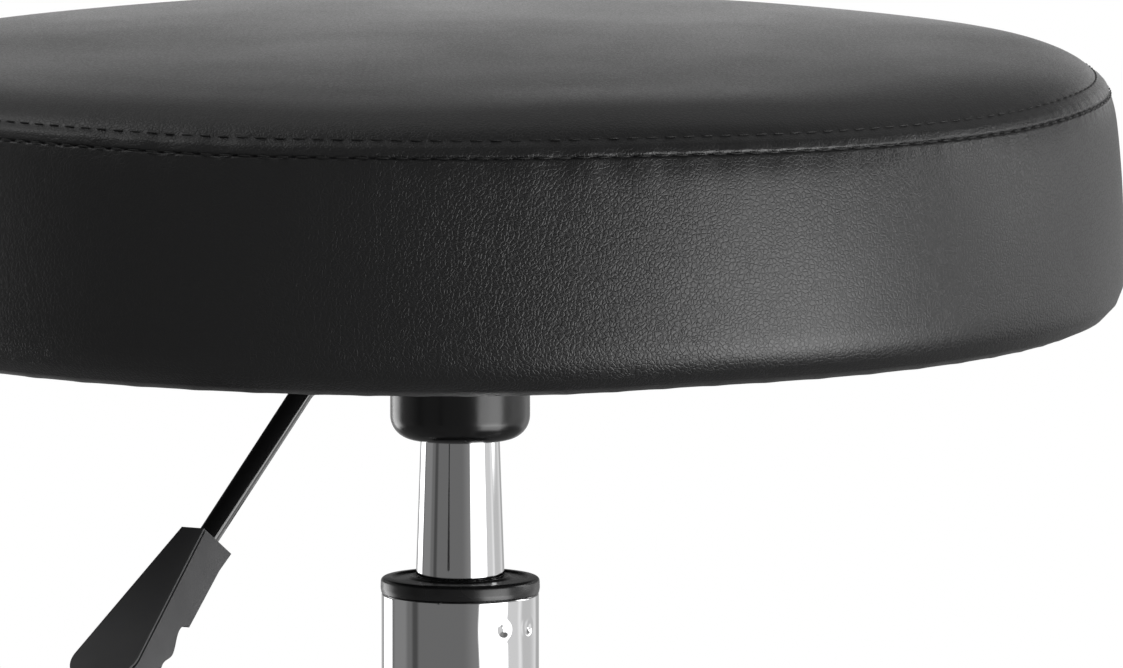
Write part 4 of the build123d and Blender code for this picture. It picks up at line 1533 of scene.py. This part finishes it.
@dataclass
class Studio:
    """Camera, pale floor and soft light."""

    sight: Vector = field(default_factory=lambda: Vector((0.0, 0.0, 0.4857)))
    distance: float = 6.0
    azimuth: float = -60.0
    elevation: float = 5.51
    aim_right: float = 0.0321
    aim_up: float = -0.1215
    lens: float = 607.8
    floor_radius: float = 1.7
    floor_glow: float = 0.6
    ambient: float = 0.19
    under: float = 0.2
    boxes: tuple[SoftBox, ...] = (
        SoftBox(51.5, 22.0, 6.0, 3.6, high=8.0, edge=10.0),
        SoftBox(60.0, 12.0, 10.0, 0.65, high=8.0, edge=10.0),
        SoftBox(94.0, 16.0, 14.0, 0.2, low=8.0, high=45.0, edge=12.0),
        SoftBox(86.0, 16.0, 10.0, 0.66, high=4.0, edge=8.0),
        SoftBox(122.0, 24.0, 12.0, 0.5, high=4.0, edge=8.0),
        SoftBox(180.0, 45.0, 24.0, 0.29, high=2.0, edge=6.0),
        SoftBox(180.0, 60.0, 30.0, 0.15, low=30.0, high=60.0, edge=18.0),
        SoftBox(-134.0, 14.0, 5.0, 2.8, high=2.0, edge=8.0),
        SoftBox(-118.0, 18.0, 14.0, 1.3, low=38.0, high=66.0, edge=12.0),
        SoftBox(-70.0, 5.0, 6.0, -0.1),
        SoftBox(-100.0, 14.0, 8.0, 0.1),
        SoftBox(24.0, 8.0, 26.0, 0.1, high=6.0, edge=8.0),
        SoftBox(104.0, 9.0, 5.0, 3.2, low=6.0, high=26.0, edge=5.0),
        SoftBox(113.0, 8.0, 4.0, 3.0, low=-2.0, high=4.0, edge=3.0),
        SoftBox(60.0, 24.0, 8.0, 3.9, low=-42.0, high=-18.0, edge=6.0),
    )
    cards: tuple[Card, ...] = (Card(0.27, 0.44, 0.5, 0.45), Card(0.35, 0.44, 0.56, 0.7))

    def toward_camera(self) -> Vector:
        """The level direction from the column to the camera."""
        return Vector((sin(radians(self.azimuth)), -cos(radians(self.azimuth)), 0.0))

    def build(self) -> None:
        """Make the camera, the floor and the light."""
        self.add_camera()
        self.add_floor()
        self.add_light()
        for number, card in enumerate(self.cards, start=1):
            self.add_card(f"card_{number}", card)

    def add_card(self, name: str, card: Card) -> None:
        """Stand one card behind the object, facing the camera.

        Args:
            name: its name.
            card: its size, place and strength.
        """
        back = -self.toward_camera() * card.distance
        side = Vector((0, 0, 1)).cross(self.toward_camera()) * card.half_width
        bm = bmesh.new()
        corners = ((-side, card.low), (side, card.low), (side, card.high), (-side, card.high))
        bm.faces.new([bm.verts.new(back + aside + Vector((0, 0, height))) for aside, height in corners])
        piece = finish_mesh(bm, name, Finish(name, (0.8, 0.8, 0.8), 0.9))
        tree = Tree(piece.data.materials[0].node_tree)
        clear = tree.add("ShaderNodeBsdfTransparent", Color=(1.0, 1.0, 1.0, 1.0)).outputs[0]
        glow = tree.glow("ShaderNodeEmission", card.strength)
        tree.add("ShaderNodeOutputMaterial", Surface=tree.shader("ShaderNodeAddShader", clear, glow))
        piece.visible_camera = False
        piece.visible_shadow = False

    def add_camera(self) -> None:
        """A long lens, level with the seat's edge and a little above it."""
        rise = radians(self.elevation)
        back = self.toward_camera() * cos(rise) + Vector((0, 0, sin(rise)))
        right = Vector((0, 0, 1)).cross(back).normalized()
        up = back.cross(right)
        place_at = self.sight + back * self.distance
        aim = self.sight + right * self.aim_right + up * self.aim_up
        data = bpy.data.cameras.new("camera")
        data.lens = self.lens
        data.sensor_width = 36.0
        data.clip_end = 200.0
        camera = bpy.data.objects.new("camera", data)
        camera.location = place_at
        camera.rotation_euler = (aim - place_at).to_track_quat("-Z", "Y").to_euler()
        bpy.context.scene.collection.objects.link(camera)
        bpy.context.scene.camera = camera

    def add_floor(self) -> None:
        """A pale disc that fades into the white surround."""
        bm = bmesh.new()
        bmesh.ops.create_circle(bm, cap_ends=True, segments=128, radius=self.floor_radius)
        floor = finish_mesh(bm, "floor", Finish("pale_floor", (0.8, 0.8, 0.8), 0.9))
        tree = Tree(floor.data.materials[0].node_tree)
        reach = tree.vector("LENGTH", tree.object_point()).outputs["Value"]
        share = tree.ramp(reach, 0.45, self.floor_radius * 0.97, 0.0, 1.0, True)
        diffuse = tree.add("ShaderNodeBsdfDiffuse", Color=(0.86, 0.86, 0.86, 1.0)).outputs[0]
        pale = tree.shader("ShaderNodeAddShader", diffuse, tree.glow("ShaderNodeEmission", self.floor_glow))
        mix = tree.shader("ShaderNodeMixShader", share, pale, tree.glow("ShaderNodeEmission", 1.0))
        tree.add("ShaderNodeOutputMaterial", Surface=mix)
        floor.visible_glossy = False
        floor.visible_diffuse = False

    def add_light(self) -> None:
        """A white surround for the camera, and softboxes for the light on the object."""
        world = bpy.data.worlds.new("studio")
        world.use_nodes = True
        bpy.context.scene.world = world
        tree = Tree(world.node_tree)
        ray = tree.add("ShaderNodeTexCoord").outputs["Generated"]
        height = tree.add("ShaderNodeSeparateXYZ", Vector=ray).outputs[2]
        climb = tree.math("MULTIPLY", tree.math("ARCSINE", height), 180 / pi)
        level = tree.vector("MULTIPLY", ray, (1.0, 1.0, 0.0)).outputs[0]
        flat = tree.vector("NORMALIZE", level).outputs[0]
        below = tree.ramp(climb, -45.0, -20.0, self.under - self.ambient, 0.0, True)
        glow = tree.math("ADD", below, self.ambient)
        for box in self.boxes:
            glow = tree.math("ADD", glow, self.box_light(tree, box, flat, climb))
        camera_ray = tree.add("ShaderNodeLightPath").outputs["Is Camera Ray"]
        light = tree.glow("ShaderNodeBackground", glow)
        seen = tree.glow("ShaderNodeBackground", 1.0)
        mix = tree.shader("ShaderNodeMixShader", camera_ray, light, seen)
        tree.add("ShaderNodeOutputWorld", Surface=mix)
        bpy.context.scene.view_settings.view_transform = "Standard"

    def box_light(self, tree: Tree, box: SoftBox, flat: bpy.types.NodeSocket,
                  climb: bpy.types.NodeSocket) -> bpy.types.NodeSocket:
        """The glow of one softbox in a direction.

        Args:
            tree: the world's node tree.
            box: the softbox.
            flat: the level part of the direction.
            climb: the direction's height in degrees.

        Returns:
            The glow's socket.
        """
        middle = Matrix.Rotation(radians(box.centre), 3, "Z") @ self.toward_camera()
        near = tree.vector("DOT_PRODUCT", flat, middle).outputs["Value"]
        away = tree.math("MULTIPLY", tree.math("ARCCOSINE", near), 180 / pi)
        half = box.blur / 2
        sideways = tree.ramp(away, box.half_width - half, box.half_width + half, 1.0, 0.0, True)
        bottom = tree.ramp(climb, box.low - box.edge / 2, box.low + box.edge / 2, 0.0, 1.0, True)
        top = tree.ramp(climb, box.high - box.edge / 2, box.high + box.edge / 2, 1.0, 0.0, True)
        inside = tree.math("MULTIPLY", sideways, tree.math("MULTIPLY", bottom, top))
        return tree.math("MULTIPLY", inside, box.strength)


def main() -> None:
    """Build the throne's looks in order."""
    logging.basicConfig(level=logging.INFO, format="%(name)s: %(message)s")
    dress_nodes()
    Studio().build()
    Seat().build()
    Column().build()
    Lever().build()
    Base().build()


if __name__ == "__main__":
    main()
